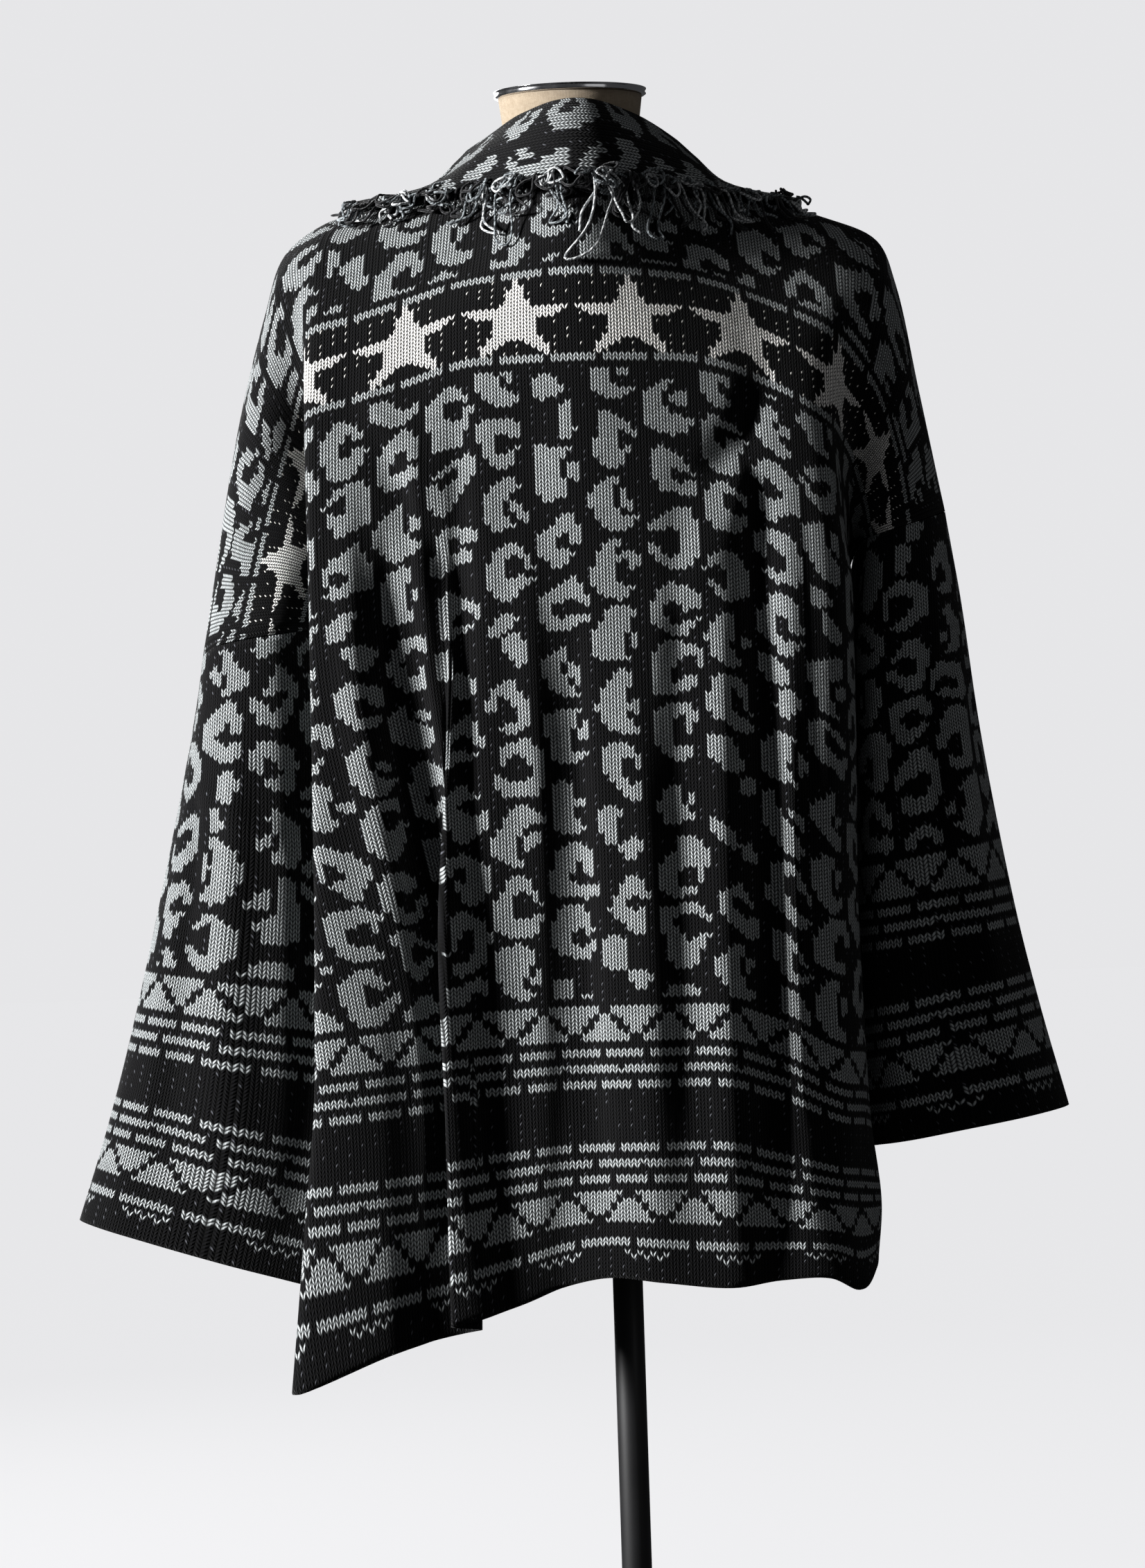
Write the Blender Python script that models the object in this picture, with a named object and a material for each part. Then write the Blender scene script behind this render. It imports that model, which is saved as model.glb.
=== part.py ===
"""Open knitted cardigan with a fringed collar, worn on a limbless dress form with a round-base stand.

Metres, Z up. The origin is the middle of the stand's underside. The front of the garment faces -Y and
the wearer's left is +X. Lengths in the tables are millimetres.
"""

import math

import bmesh
import bpy
import numpy as np

MM = 0.001
WALL = 3.0 * MM
SEAM_GAP = 0.3 * MM
HALF_SEAM = 0.15 * MM

GARMENT_MIDDLE_X = 12.0
ARMHOLE_DEPTH = 240.0
BODY_LENGTH = 872.0
NECK_SCOOP = 25.0
NECK_HALF_WIDTH = 80.0
FRONT_DEPTH_SHARE = 0.92

FOLD_START = 170.0
FOLD_FULL = 760.0

LEFT = 1
RIGHT = -1

# One row for each line round the body, named by its distance down from the shoulder line.
# Each point is outward, back and up.
SIDE_COLUMNS = ("edge", "tuck", "valley", "arm", "seam")
SIDE_ROWS = {
    LEFT: (
        (0, (205, 0, 1402), (236, 0, 1379), (252, 0, 1335), (277, 0, 1241), (307, 0, 1073)),
        (40, (211, 30, 1384), (238, 30, 1358), (252, 34, 1312), (276, 42, 1225), (305, 44, 1075)),
        (90, (217, 56, 1342), (229, 50, 1314), (240, 50, 1280), (264, 66, 1190), (293, 70, 1082)),
        (145, (219, 84, 1289), (213, 64, 1268), (219, 46, 1246), (240, 72, 1168), (256, 84, 1088)),
        (200, (220, 103, 1238), (208, 80, 1216), (200, 58, 1186), (212, 66, 1132), (226, 66, 1091)),
        (240, (220, 112, 1200), (205, 88, 1174), (192, 62, 1136), (192, 50, 1084), (207, 0, 1086)),
        (300, (220, 121, 1142), (203, 97, 1118), (184, 68, 1078), (177, 38, 1036), (186, 0, 1034)),
        (400, (221, 130, 1045), (201, 105, 1032), (177, 74, 1012), (169, 38, 996), (170, 0, 990)),
        (550, (223, 136, 900), (199, 109, 890), (175, 78, 880), (168, 40, 870), (167, 0, 866)),
        (700, (227, 142, 752), (204, 114, 745), (180, 82, 738), (172, 42, 730), (171, 0, 726)),
        (800, (238, 148, 640), (214, 118, 644), (190, 86, 650), (178, 43, 655), (174, 0, 656)),
        (872, (250, 152, 524), (228, 120, 548), (200, 88, 578), (186, 44, 594), (180, 0, 598)),
    ),
    RIGHT: (
        (0, (178, 0, 1394), (215, 0, 1376), (228, 0, 1343), (243, 0, 1262), (260, 0, 1168)),
        (40, (181, 31, 1374), (213, 32, 1350), (226, 36, 1318), (241, 42, 1246), (257, 42, 1166)),
        (90, (179, 60, 1332), (204, 58, 1306), (217, 58, 1280), (231, 68, 1222), (243, 72, 1161)),
        (145, (171, 84, 1278), (189, 68, 1258), (203, 66, 1238), (214, 78, 1196), (217, 84, 1153)),
        (200, (168, 100, 1226), (180, 74, 1210), (187, 58, 1196), (194, 60, 1170), (199, 64, 1147)),
        (240, (167, 108, 1188), (176, 78, 1172), (181, 54, 1156), (183, 34, 1138), (192, 0, 1142)),
        (300, (167, 116, 1130), (172, 86, 1114), (173, 58, 1098), (172, 30, 1084), (176, 0, 1086)),
        (400, (163, 124, 1030), (170, 94, 1022), (171, 62, 1014), (168, 32, 1004), (167, 0, 1000)),
        (550, (151, 126, 884), (164, 98, 880), (170, 68, 874), (169, 34, 866), (167, 0, 862)),
        (700, (157, 132, 738), (167, 106, 734), (174, 76, 728), (173, 38, 722), (170, 0, 718)),
        (800, (156, 140, 656), (174, 118, 652), (190, 88, 650), (184, 44, 650), (177, 0, 650)),
        (872, (150, 148, 597), (172, 136, 587), (184, 108, 600), (187, 52, 612), (180, 0, 616)),
    ),
}

# Down from the shoulder line, then back and up at the middle, the neck corners and the shoulder blades.
MIDDLE_ROWS = (
    (0, (60, 1459), (0, 1429), (0, 1427), (0, 1417), (0, 1411)),
    (40, (80, 1424), (36, 1410), (36, 1408), (33, 1398), (33, 1392)),
    (90, (104, 1381), (70, 1372), (70, 1370), (63, 1360), (63, 1354)),
    (145, (120, 1328), (101, 1326), (101, 1324), (90, 1311), (90, 1309)),
    (200, (129, 1274), (116, 1273), (116, 1271), (107, 1259), (107, 1256)),
    (240, (132, 1234), (121, 1233), (121, 1232), (114, 1220), (114, 1217)),
    (300, (134, 1174), (126, 1173), (126, 1172), (121, 1161), (121, 1158)),
    (400, (137, 1074), (131, 1073), (131, 1072), (128, 1062), (128, 1059)),
    (550, (141, 924), (136, 923), (136, 922), (134, 912), (134, 911)),
    (700, (146, 774), (141, 771), (141, 773), (140, 762), (140, 762)),
    (800, (150, 674), (145, 664), (145, 672), (146, 652), (146, 664)),
    (872, (153, 603), (149, 577), (149, 593), (150, 562), (150, 597)),
)
MIDDLE_X = (12.0, 92.0, -68.0, 147.0, -118.0)

# Folds of the back: where each lies when smooth, where at the hem, and how far out there.
BACK_FOLDS = (
    (-118, -114, 1),
    (-75, -76, 10),
    (-25, -26, 8),
    (12, 14, 0),
    (46, 50, -13),
    (74, 82, -4),
    (96, 108, 8),
    (114, 131, 11),
    (127, 112, 0),
    (140, 123, -13),
    (158, 150, -15),
    (182, 180, 2),
)
# Folds of each front, placed by share of the way from its edge to the side fold.
FRONT_FOLDS = {
    LEFT: ((0.0, 2), (0.2, 8), (0.45, -9), (0.7, 9), (0.87, -3)),
    RIGHT: ((0.0, -2), (0.25, 9), (0.5, -8), (0.75, 8), (0.9, -2)),
}
FRONT_EDGE_ROWS = ((0, 80), (40, 75), (90, 67), (145, 59), (200, 52), (240, 47), (300, 42), (872, 40))

ROW_STEPS = (
    0, 14, 28, 40, 56, 73, 90, 108, 127, 145, 163, 182, 200, 220, 240, 270, 300, 350, 400, 475,
    550, 625, 700, 745, 790, 832, 872,
)
ARMHOLE_ROW = ROW_STEPS.index(240)

# Sleeve sections: share of the way down, outer edge (out, up), inner edge (out, up), half depth.
SLEEVE_ROWS = {
    LEFT: (
        (0.00, (307, 1073), (211, 1086), 84),
        (0.12, (316, 1026), (208, 1030), 78),
        (0.38, (341, 913), (203, 902), 66),
        (0.66, (372, 788), (203, 756), 56),
        (0.84, (393, 716), (208, 664), 50),
        (1.00, (416, 648), (222, 588), 45),
    ),
    RIGHT: (
        (0.00, (260, 1168), (196, 1142), 84),
        (0.14, (270, 1100), (187, 1080), 80),
        (0.38, (280, 1010), (181, 980), 70),
        (0.66, (303, 868), (181, 850), 64),
        (0.84, (320, 790), (183, 760), 60),
        (1.00, (340, 712), (194, 686), 58),
    ),
}
SLEEVE_STEPS = (0.0, 0.05, 0.12, 0.21, 0.31, 0.42, 0.53, 0.64, 0.75, 0.84, 0.92, 1.0)
SLEEVE_SQUARENESS = 0.82

# Dress form rings: up, middle, half width, back depth, front depth.
FORM_ROWS = (
    (840, 0, 138, 92, 88),
    (850, 0, 146, 98, 94),
    (900, 0, 150, 104, 98),
    (960, 1, 146, 98, 92),
    (1020, 2, 134, 88, 84),
    (1080, 3, 136, 90, 90),
    (1150, 5, 146, 98, 102),
    (1200, 6, 152, 102, 104),
    (1240, 8, 160, 98, 100),
    (1280, 9, 174, 88, 88),
    (1315, 11, 194, 76, 76),
    (1345, 12, 208, 60, 56),
    (1370, 12, 208, 50, 46),
    (1385, 14, 190, 45, 41),
    (1397, 17, 160, 38, 35),
    (1408, 19, 122, 32, 29),
    (1416, 18, 86, 33, 30),
    (1424, 15, 56, 40, 38),
    (1445, 14, 50, 49, 49),
    (1470, 15, 52, 52, 52),
    (1494, 15, 55, 55, 55),
)
FORM_SIDES = 24
NECK_CAP_RADIUS = 58.5
NECK_CAP_BOTTOM = 1494.3
NECK_CAP_TOP = 1499.3

# The collar: height it stands and width it falls at the back, the neck corner and down the front.
COLLAR_BOTTOM = 300.0
COLLAR_STAND_ROWS = ((-300, 5), (-145, 8), (-60, 14), (0, 27), (40, 36), (80, 46))
COLLAR_FALL_ROWS = ((-300, 34), (-200, 62), (-90, 80), (0, 88))
COLLAR_BACK_REACH = {LEFT: 168.0, RIGHT: 150.0}
COLLAR_BACK_DROP = 46.0
COLLAR_CORNER_DROP = 10.0
COLLAR_LIFT = 10.0
CORNER_TURN = 45.0
COLLAR_BACK_LIFT = 17.0
KNEE_OUT = 31.0
KNEE_LIFT = 10.0
KNEE_FADE = 150.0
KNEE_SHARE = {LEFT: 1.0, RIGHT: 0.9}

# The fringe: strip along the collar's edge, strands left standing out of it.
STRIP_GAP = 0.8
STRIP_WIDTH = 4.0
STRIP_THICKNESS = 2.2
BACK_STRANDS = 30
FRONT_STRANDS = 15
STRAND_LIFT = 5.0
BACK_STRAND_LENGTHS = (34, 46, 28, 52, 38, 60, 31, 48, 42, 56)
FRONT_STRAND_LENGTHS = (36, 50, 30, 44, 56, 40)

POLE_RADIUS = 11.5
POLE_SOCKET_RADIUS = 11.8
POLE_BOTTOM = 12.3
POLE_TOP = 889.7
FORM_SOCKET_TOP = 890.0
BASE_RADIUS = 190.0
STAND_SIDES = 32


def slopes(x, y):
    """Slopes that keep a curve through the points free of overshoot."""
    step = np.diff(x)[:, None]
    rise = np.diff(y, axis=0) / step
    slope = np.zeros_like(y)
    slope[0] = rise[0]
    slope[-1] = rise[-1]
    before = rise[:-1]
    after = rise[1:]
    same = before * after > 0
    both = np.where(same, before + after, 1.0)
    slope[1:-1] = np.where(same, 2.0 * before * after / both, 0.0)
    return slope


def through(x, y, at):
    """Values at the given places on a smooth curve through the points."""
    x = np.asarray(x, float)
    y = np.asarray(y, float)
    flat = y.ndim == 1
    if flat:
        y = y[:, None]
    at = np.atleast_1d(np.asarray(at, float))
    slope = slopes(x, y)
    i = np.clip(np.searchsorted(x, at, side="right") - 1, 0, len(x) - 2)
    h = (x[i + 1] - x[i])[:, None]
    u = np.clip((at - x[i])[:, None] / h, 0.0, 1.0)
    out = (
        (2 * u**3 - 3 * u**2 + 1) * y[i]
        + (u**3 - 2 * u**2 + u) * h * slope[i]
        + (3 * u**2 - 2 * u**3) * y[i + 1]
        + (u**3 - u**2) * h * slope[i + 1]
    )
    return out[:, 0] if flat else out


def rounded(points, parts):
    """A rounded line through the points, with this many parts between each two."""
    points = np.asarray(points, float)
    chord = np.sqrt(np.linalg.norm(np.diff(points, axis=0), axis=1)) + 1e-9
    knots = np.concatenate(([0.0], np.cumsum(chord)))
    rise = np.diff(points, axis=0) / chord[:, None]
    slope = np.zeros_like(points)
    slope[0] = rise[0]
    slope[-1] = rise[-1]
    share = (chord[:-1] / (chord[:-1] + chord[1:]))[:, None]
    slope[1:-1] = (1 - share) * rise[:-1] + share * rise[1:]
    out = []
    for i in range(len(points) - 1):
        h = knots[i + 1] - knots[i]
        for k in range(parts):
            u = k / parts
            out.append(
                (2 * u**3 - 3 * u**2 + 1) * points[i]
                + (u**3 - 2 * u**2 + u) * h * slope[i]
                + (3 * u**2 - 2 * u**3) * points[i + 1]
                + (u**3 - u**2) * h * slope[i + 1]
            )
    out.append(points[-1])
    return np.array(out)


def side_points(side, down):
    """The five named points of a side at a distance down, from the fold edge to the seam."""
    rows = SIDE_ROWS[side]
    table = np.array([[c for point in row[1:] for c in point] for row in rows], float)
    values = through([row[0] for row in rows], table, down)[0].reshape(5, 3)
    values[:, 0] *= side
    return values


def fold_growth(down):
    """How far the folds have opened at a distance down, from 0 to 1."""
    u = np.clip((down - FOLD_START) / (FOLD_FULL - FOLD_START), 0.0, 1.0)
    return u * u * (3 - 2 * u)


def smooth_back(x, down):
    """Back and up of the unfolded back at each sideways place."""
    table = np.array([[c for pair in row[1:] for c in pair] for row in MIDDLE_ROWS], float)
    pairs = through([row[0] for row in MIDDLE_ROWS], table, down)[0].reshape(5, 2)
    known = [(MIDDLE_X[i], pairs[i][0], pairs[i][1]) for i in range(5)]
    for side in (LEFT, RIGHT):
        edge = side_points(side, down)[0]
        known.append((edge[0], edge[1], edge[2]))
    known = np.array(sorted(known))
    return through(known[:, 0], known[:, 1:], x)


def back_row(down):
    """Key points across the back at a distance down from the shoulder line."""
    grown = fold_growth(down)
    keys = []
    for smooth_x, hem_x, out in BACK_FOLDS:
        y, z = smooth_back(smooth_x, down)[0]
        keys.append((smooth_x + grown * (hem_x - smooth_x), y + grown * out, z))
    right = side_points(RIGHT, down)[::-1]
    left = side_points(LEFT, down)
    return np.vstack((right, keys, left))


def front_row(side, down):
    """Key points across one front, from its open edge to the side seam, as if it were the back."""
    grown = fold_growth(down)
    rows = FRONT_EDGE_ROWS
    half = through([row[0] for row in rows], [row[1] for row in rows], down)[0]
    inner = GARMENT_MIDDLE_X + side * half
    points = side_points(side, down)
    keys = []
    for share, out in FRONT_FOLDS[side]:
        x = inner + share * (points[0][0] - inner)
        y, z = smooth_back(x, down)[0]
        keys.append((x, y + grown * out, z))
    return np.vstack((keys, points))


def scoop(x):
    """How far the neckline lies below the shoulder line at each sideways place."""
    share = (x - GARMENT_MIDDLE_X) / NECK_HALF_WIDTH
    return NECK_SCOOP * max(0.0, 1.0 - share * share)


def back_grid(parts=2):
    """Middle surface of the back: rows down by columns across, in metres."""
    plain = [rounded(back_row(down), parts) for down in ROW_STEPS]
    columns = len(plain[0])
    grid = np.zeros((len(ROW_STEPS), columns, 3))
    first = 5 * parts
    last = columns - 1 - 5 * parts
    starts = np.zeros(columns)
    for j in range(first, last + 1):
        starts[j] = scoop(plain[0][j][0])
    for i, down in enumerate(ROW_STEPS):
        grid[i] = plain[i]
        for j in np.nonzero(starts)[0]:
            moved = starts[j] + down * (1 - starts[j] / BODY_LENGTH)
            grid[i][j] = rounded(back_row(moved), parts)[j]
    return grid * MM


def front_grid(side, parts=2):
    """Middle surface of a front: rows down by columns from the open edge to the side."""
    grid = np.array([rounded(front_row(side, down), parts) for down in ROW_STEPS])
    grid[:, :, 1] *= -FRONT_DEPTH_SHARE
    return grid * MM


def directions(grid):
    """Mean of the unit directions into and out of each point along the first axis."""
    step = np.diff(grid, axis=0)
    step /= np.maximum(np.linalg.norm(step, axis=2, keepdims=True), 1e-12)
    way = np.concatenate((step[:1], step), axis=0) + np.concatenate((step, step[-1:]), axis=0)
    return way / 2


def grid_normals(grid, closed=False):
    """Unit normals of a grid, from the directions of its rows and columns."""
    down = directions(grid)
    if closed:
        wide = np.concatenate((grid[:, -1:], grid, grid[:, :1]), axis=1)
        across = directions(wide.swapaxes(0, 1)).swapaxes(0, 1)[:, 1:-1]
    else:
        across = directions(grid.swapaxes(0, 1)).swapaxes(0, 1)
    normal = np.cross(across, down)
    size = np.linalg.norm(normal, axis=2, keepdims=True)
    return normal / np.maximum(size, 1e-12)


def level(normal, where):
    """Turn the normals at these places square to the seam plane between back and front."""
    normal[where[0], where[1], 1] = 0.0
    size = np.linalg.norm(normal, axis=2, keepdims=True)
    return normal / np.maximum(size, 1e-12)


def panel_seams(grid, normal, face, sides, neck_columns=()):
    """Set the shoulder and side seams half a gap from the seam plane."""
    rows, columns = grid.shape[:2]
    top = [j for j in range(columns) if j not in neck_columns]
    grid[0, top, 1] = face * HALF_SEAM
    normal = level(normal, (0, top))
    for j in sides:
        down = list(range(ARMHOLE_ROW, rows))
        grid[down, j, 1] = face * HALF_SEAM
        normal = level(normal, (down, j))
    return grid, normal


def new_material(name, colour, roughness, metallic):
    material = bpy.data.materials.new(name)
    material.use_nodes = True
    shader = material.node_tree.nodes["Principled BSDF"]
    shader.inputs["Base Color"].default_value = (*colour, 1.0)
    shader.inputs["Roughness"].default_value = roughness
    shader.inputs["Metallic"].default_value = metallic
    return material


def new_object(name, verts, faces, material):
    """A mesh object whose faces point out."""
    mesh = bpy.data.meshes.new(name)
    mesh.from_pydata([tuple(v) for v in verts], [], faces)
    body = bmesh.new()
    body.from_mesh(mesh)
    bmesh.ops.recalc_face_normals(body, faces=body.faces)
    if body.calc_volume(signed=True) < 0:
        bmesh.ops.reverse_faces(body, faces=body.faces)
    body.to_mesh(mesh)
    body.free()
    thing = bpy.data.objects.new(name, mesh)
    bpy.context.collection.objects.link(thing)
    mesh.materials.append(material)
    return thing


def cloth(name, grid, normal, material, closed=False, wall=WALL):
    """A cloth wall on a grid, thick both ways along the normals, with its rims."""
    rows, columns = grid.shape[:2]
    outer = (grid + normal * wall / 2).reshape(-1, 3)
    inner = (grid - normal * wall / 2).reshape(-1, 3)
    verts = np.vstack((outer, inner))
    shift = rows * columns
    faces = []
    spans = columns if closed else columns - 1
    for i in range(rows - 1):
        for j in range(spans):
            a = i * columns + j
            b = i * columns + (j + 1) % columns
            c = b + columns
            d = a + columns
            faces.append((a, b, c, d))
            faces.append((a + shift, d + shift, c + shift, b + shift))
    for j in range(spans):
        a = j
        b = (j + 1) % columns
        faces.append((a, a + shift, b + shift, b))
        a = (rows - 1) * columns + j
        b = (rows - 1) * columns + (j + 1) % columns
        faces.append((a, b, b + shift, a + shift))
    if not closed:
        for i in range(rows - 1):
            a = i * columns
            b = a + columns
            faces.append((a, b, b + shift, a + shift))
            a = i * columns + columns - 1
            b = a + columns
            faces.append((a, a + shift, b + shift, b))
    return new_object(name, verts, faces, material)


def lofted(name, rings, material):
    """A closed body through rings of points, each end shut by a fan to its middle."""
    sides = len(rings[0])
    verts = [tuple(p) for ring in rings for p in ring]
    faces = []
    for i in range(len(rings) - 1):
        for j in range(sides):
            k = (j + 1) % sides
            faces.append((i * sides + j, i * sides + k, (i + 1) * sides + k, (i + 1) * sides + j))
    for i in (0, len(rings) - 1):
        middle = len(verts)
        verts.append(tuple(np.mean(rings[i], axis=0)))
        for j in range(sides):
            faces.append((i * sides + j, i * sides + (j + 1) % sides, middle))
    return new_object(name, verts, faces, material)


def turned(name, profile, material, middle_x=0.0, sides=STAND_SIDES):
    """A body turned round a standing axis from (radius, up) pairs, its ends on the axis left out."""
    rings = []
    for radius, up in profile:
        ring = []
        for k in range(sides):
            angle = 2 * math.pi * k / sides
            ring.append(((middle_x + radius * math.cos(angle)) * MM, radius * math.sin(angle) * MM, up * MM))
        rings.append(np.array(ring))
    return lofted(name, rings, material)


def sleeve_section(side, share, angle):
    """A point of the plain sleeve at a share of the way down and an angle from its outer edge."""
    rows = SLEEVE_ROWS[side]
    table = np.array([(*row[1], *row[2], row[3]) for row in rows], float)
    outer_x, outer_z, inner_x, inner_z, depth = through([row[0] for row in rows], table, share)[0]
    c = math.cos(angle)
    s = math.sin(angle)
    wide = math.copysign(abs(c) ** SLEEVE_SQUARENESS, c)
    deep = math.copysign(abs(s) ** SLEEVE_SQUARENESS, s)
    if s < 0:
        deep *= FRONT_DEPTH_SHARE
    x = (outer_x + inner_x) / 2 + wide * (outer_x - inner_x) / 2
    z = (outer_z + inner_z) / 2 + wide * (outer_z - inner_z) / 2
    return np.array((side * x, depth * deep, z)) * MM


def armhole_loop(side, back, back_normal, front, front_normal):
    """The armhole edge all round: points, normals and directions out of the panels."""
    at = -1 if side == LEFT else 0
    near = -2 if side == LEFT else 1
    points = []
    normals = []
    ways = []
    for i in range(ARMHOLE_ROW + 1):
        points.append(back[i, at])
        normals.append(back_normal[i, at])
        ways.append(back[i, at] - back[i, near])
    for i in range(ARMHOLE_ROW - 1, 0, -1):
        points.append(front[i, -1])
        normals.append(front_normal[i, -1])
        ways.append(front[i, -1] - front[i, -2])
    points = np.array(points)
    normals = np.array(normals)
    ways = np.array(ways)
    for i in (0, ARMHOLE_ROW):
        points[i, 1] = 0.0
        normals[i, 1] = 0.0
        ways[i, 1] *= 0.0 if i == 0 else 1.0
    normals /= np.linalg.norm(normals, axis=1, keepdims=True)
    ways /= np.linalg.norm(ways, axis=1, keepdims=True)
    return points, normals, ways


def sleeve_grid(side, loop):
    """Middle surface of a sleeve, its first ring set off from the armhole edge."""
    points, normals, ways = loop
    count = len(points)
    around = np.linalg.norm(np.roll(points, -1, axis=0) - points, axis=1)
    angles = 2 * math.pi * np.concatenate(([0.0], np.cumsum(around)[:-1])) / around.sum()
    plain = np.array([[sleeve_section(side, share, a) for a in angles] for share in SLEEVE_STEPS])
    middle = points.mean(axis=0)
    first = points.copy()
    for j in range(count):
        away = plain[2, j] - points[j]
        away /= np.linalg.norm(away)
        turn = float(np.clip(np.dot(away, ways[j]), -1.0, 1.0))
        outward = normals[j] if np.dot(normals[j], away) > 0 else -normals[j]
        bend = math.sqrt(1 - turn * turn)
        first[j] = points[j] + ways[j] * (SEAM_GAP + WALL / 2 * bend) + outward * 1.4 * WALL * (1 - turn)
    offset = first - plain[0]
    grid = plain.copy()
    for i, share in enumerate(SLEEVE_STEPS):
        keep = max(0.0, 1.0 - share / 0.45)
        grid[i] += offset * (keep * keep * (3 - 2 * keep))
    return grid, middle


def lying_point(x, down):
    """A point of the smooth garment; below zero, the distance is down the front."""
    y, z = smooth_back(x, abs(down))[0]
    if down < 0:
        y *= -FRONT_DEPTH_SHARE
    return np.array((x, y, z))


def lying(x, down, lift):
    """A point lifted off the smooth garment along its normal."""
    across = lying_point(x + 3, down) - lying_point(x - 3, down)
    along = lying_point(x, down + 6) - lying_point(x, down - 6)
    normal = np.cross(across, along)
    normal *= -1 if normal[2] < 0 else 1
    if down < 0 and normal[1] > 0 or down > 20 and normal[1] < 0:
        normal *= -1
    return lying_point(x, down) + lift * normal / np.linalg.norm(normal)


def collar_start(edge, leave, out):
    """Where the collar's own edge starts, just clear of the panel's rim."""
    turn = float(np.clip(np.dot(leave, out), -1.0, 1.0))
    clear = 1.8 * SEAM_GAP + WALL / 2 * math.sqrt(1 - turn * turn)
    return edge + leave * clear / MM


def collar_stations(back, fronts, neck_columns):
    """Stations round the collar: place, edge point, way out of the panel and fall point."""
    stations = []
    for side in (LEFT, RIGHT):
        front = fronts[side][0] / MM
        rows = [i for i, down in enumerate(ROW_STEPS) if down <= COLLAR_BOTTOM]
        part = []
        for i in rows:
            down = -float(ROW_STEPS[i])
            edge = front[i, 0]
            out = front[i, 0] - front[i, 1]
            width = through([r[0] for r in COLLAR_FALL_ROWS], [r[1] for r in COLLAR_FALL_ROWS], down)[0]
            fall = lying(edge[0] + side * width, down, COLLAR_LIFT)
            corner = max(0.0, 1.0 + down / CORNER_TURN)
            leave = out / np.linalg.norm(out)
            out = (leave + np.array((0.0, -0.35, 0.12))) * (1 - corner)
            out += np.array((-0.1 * side, -0.12, 1.0)) * corner
            out /= np.linalg.norm(out)
            leave = leave * (1 - corner) + np.array((-side * 1.0, 0.0, 0.25)) * corner
            leave /= np.linalg.norm(leave)
            part.append((down, side, collar_start(edge, leave, out), out, fall, edge[0] + side * width))
        stations.append(part)
    left, right = stations
    middle = []
    columns = sorted(neck_columns, key=lambda j: -back[0, j, 0])
    for j in columns:
        edge = back[0, j] / MM
        share = float(np.clip((edge[0] - GARMENT_MIDDLE_X) / NECK_HALF_WIDTH, -1.0, 1.0))
        side = LEFT if share > 0 else RIGHT
        reach = GARMENT_MIDDLE_X + share * COLLAR_BACK_REACH[side]
        down = COLLAR_BACK_DROP + (COLLAR_CORNER_DROP - COLLAR_BACK_DROP) * share * share
        lift = COLLAR_BACK_LIFT + (COLLAR_LIFT - COLLAR_BACK_LIFT) * share * share
        out = np.array((-0.1 * share, -0.12, 1.0))
        place = 80.0 * (1 - share * share)
        out /= np.linalg.norm(out)
        leave = (back[0, j] - back[1, j]) / MM
        leave /= np.linalg.norm(leave)
        inward = np.array((-side * 1.0, 0.0, 0.25))
        leave = leave * (1 - share**4) + inward * share**4
        leave /= np.linalg.norm(leave)
        start = collar_start(edge, leave, out)
        middle.append((place, side, start, out, lying(reach, down, lift), reach))
    return left[::-1], middle, right


def collar_section(station):
    """Rounded section of the collar from the neckline up, over and down to its free edge."""
    place, side, edge, out, fall, reach = station
    stand = through([r[0] for r in COLLAR_STAND_ROWS], [r[1] for r in COLLAR_STAND_ROWS], place)[0]
    top = edge + out * stand
    over = fall - top
    over -= out * np.dot(over, out)
    over /= np.linalg.norm(over)
    roll = min(7.0, stand * 0.5)
    middle = 0.55 * fall + 0.45 * (top + over * roll * 2.0) + out * 2.5
    if place < 0:
        near = max(0.0, 1.0 + place / KNEE_FADE)
        down = place
    else:
        near = (1 - place / 80.0) * KNEE_SHARE[side]
        down = (COLLAR_BACK_DROP + (COLLAR_CORNER_DROP - COLLAR_BACK_DROP) * (1 - place / 80.0)) * 0.5
    near *= near * (3 - 2 * near)
    knee = lying(edge[0] + side * KNEE_OUT, down, KNEE_LIFT)
    points = (
        edge,
        edge + out * stand * 0.55 + over * 0.5,
        top + over * roll * 0.6,
        top + over * roll * 1.9 - out * stand * (0.22 + 0.12 * near),
        middle + near * (knee - middle),
        fall,
    )
    return rounded(points, 1)


def resampled(line, count):
    """Points evenly spaced along a line."""
    far = np.concatenate(([0.0], np.cumsum(np.linalg.norm(np.diff(line, axis=0), axis=1))))
    at = np.linspace(0.0, far[-1], count)
    return np.array([np.interp(at, far, line[:, k]) for k in range(line.shape[1])]).T


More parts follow.
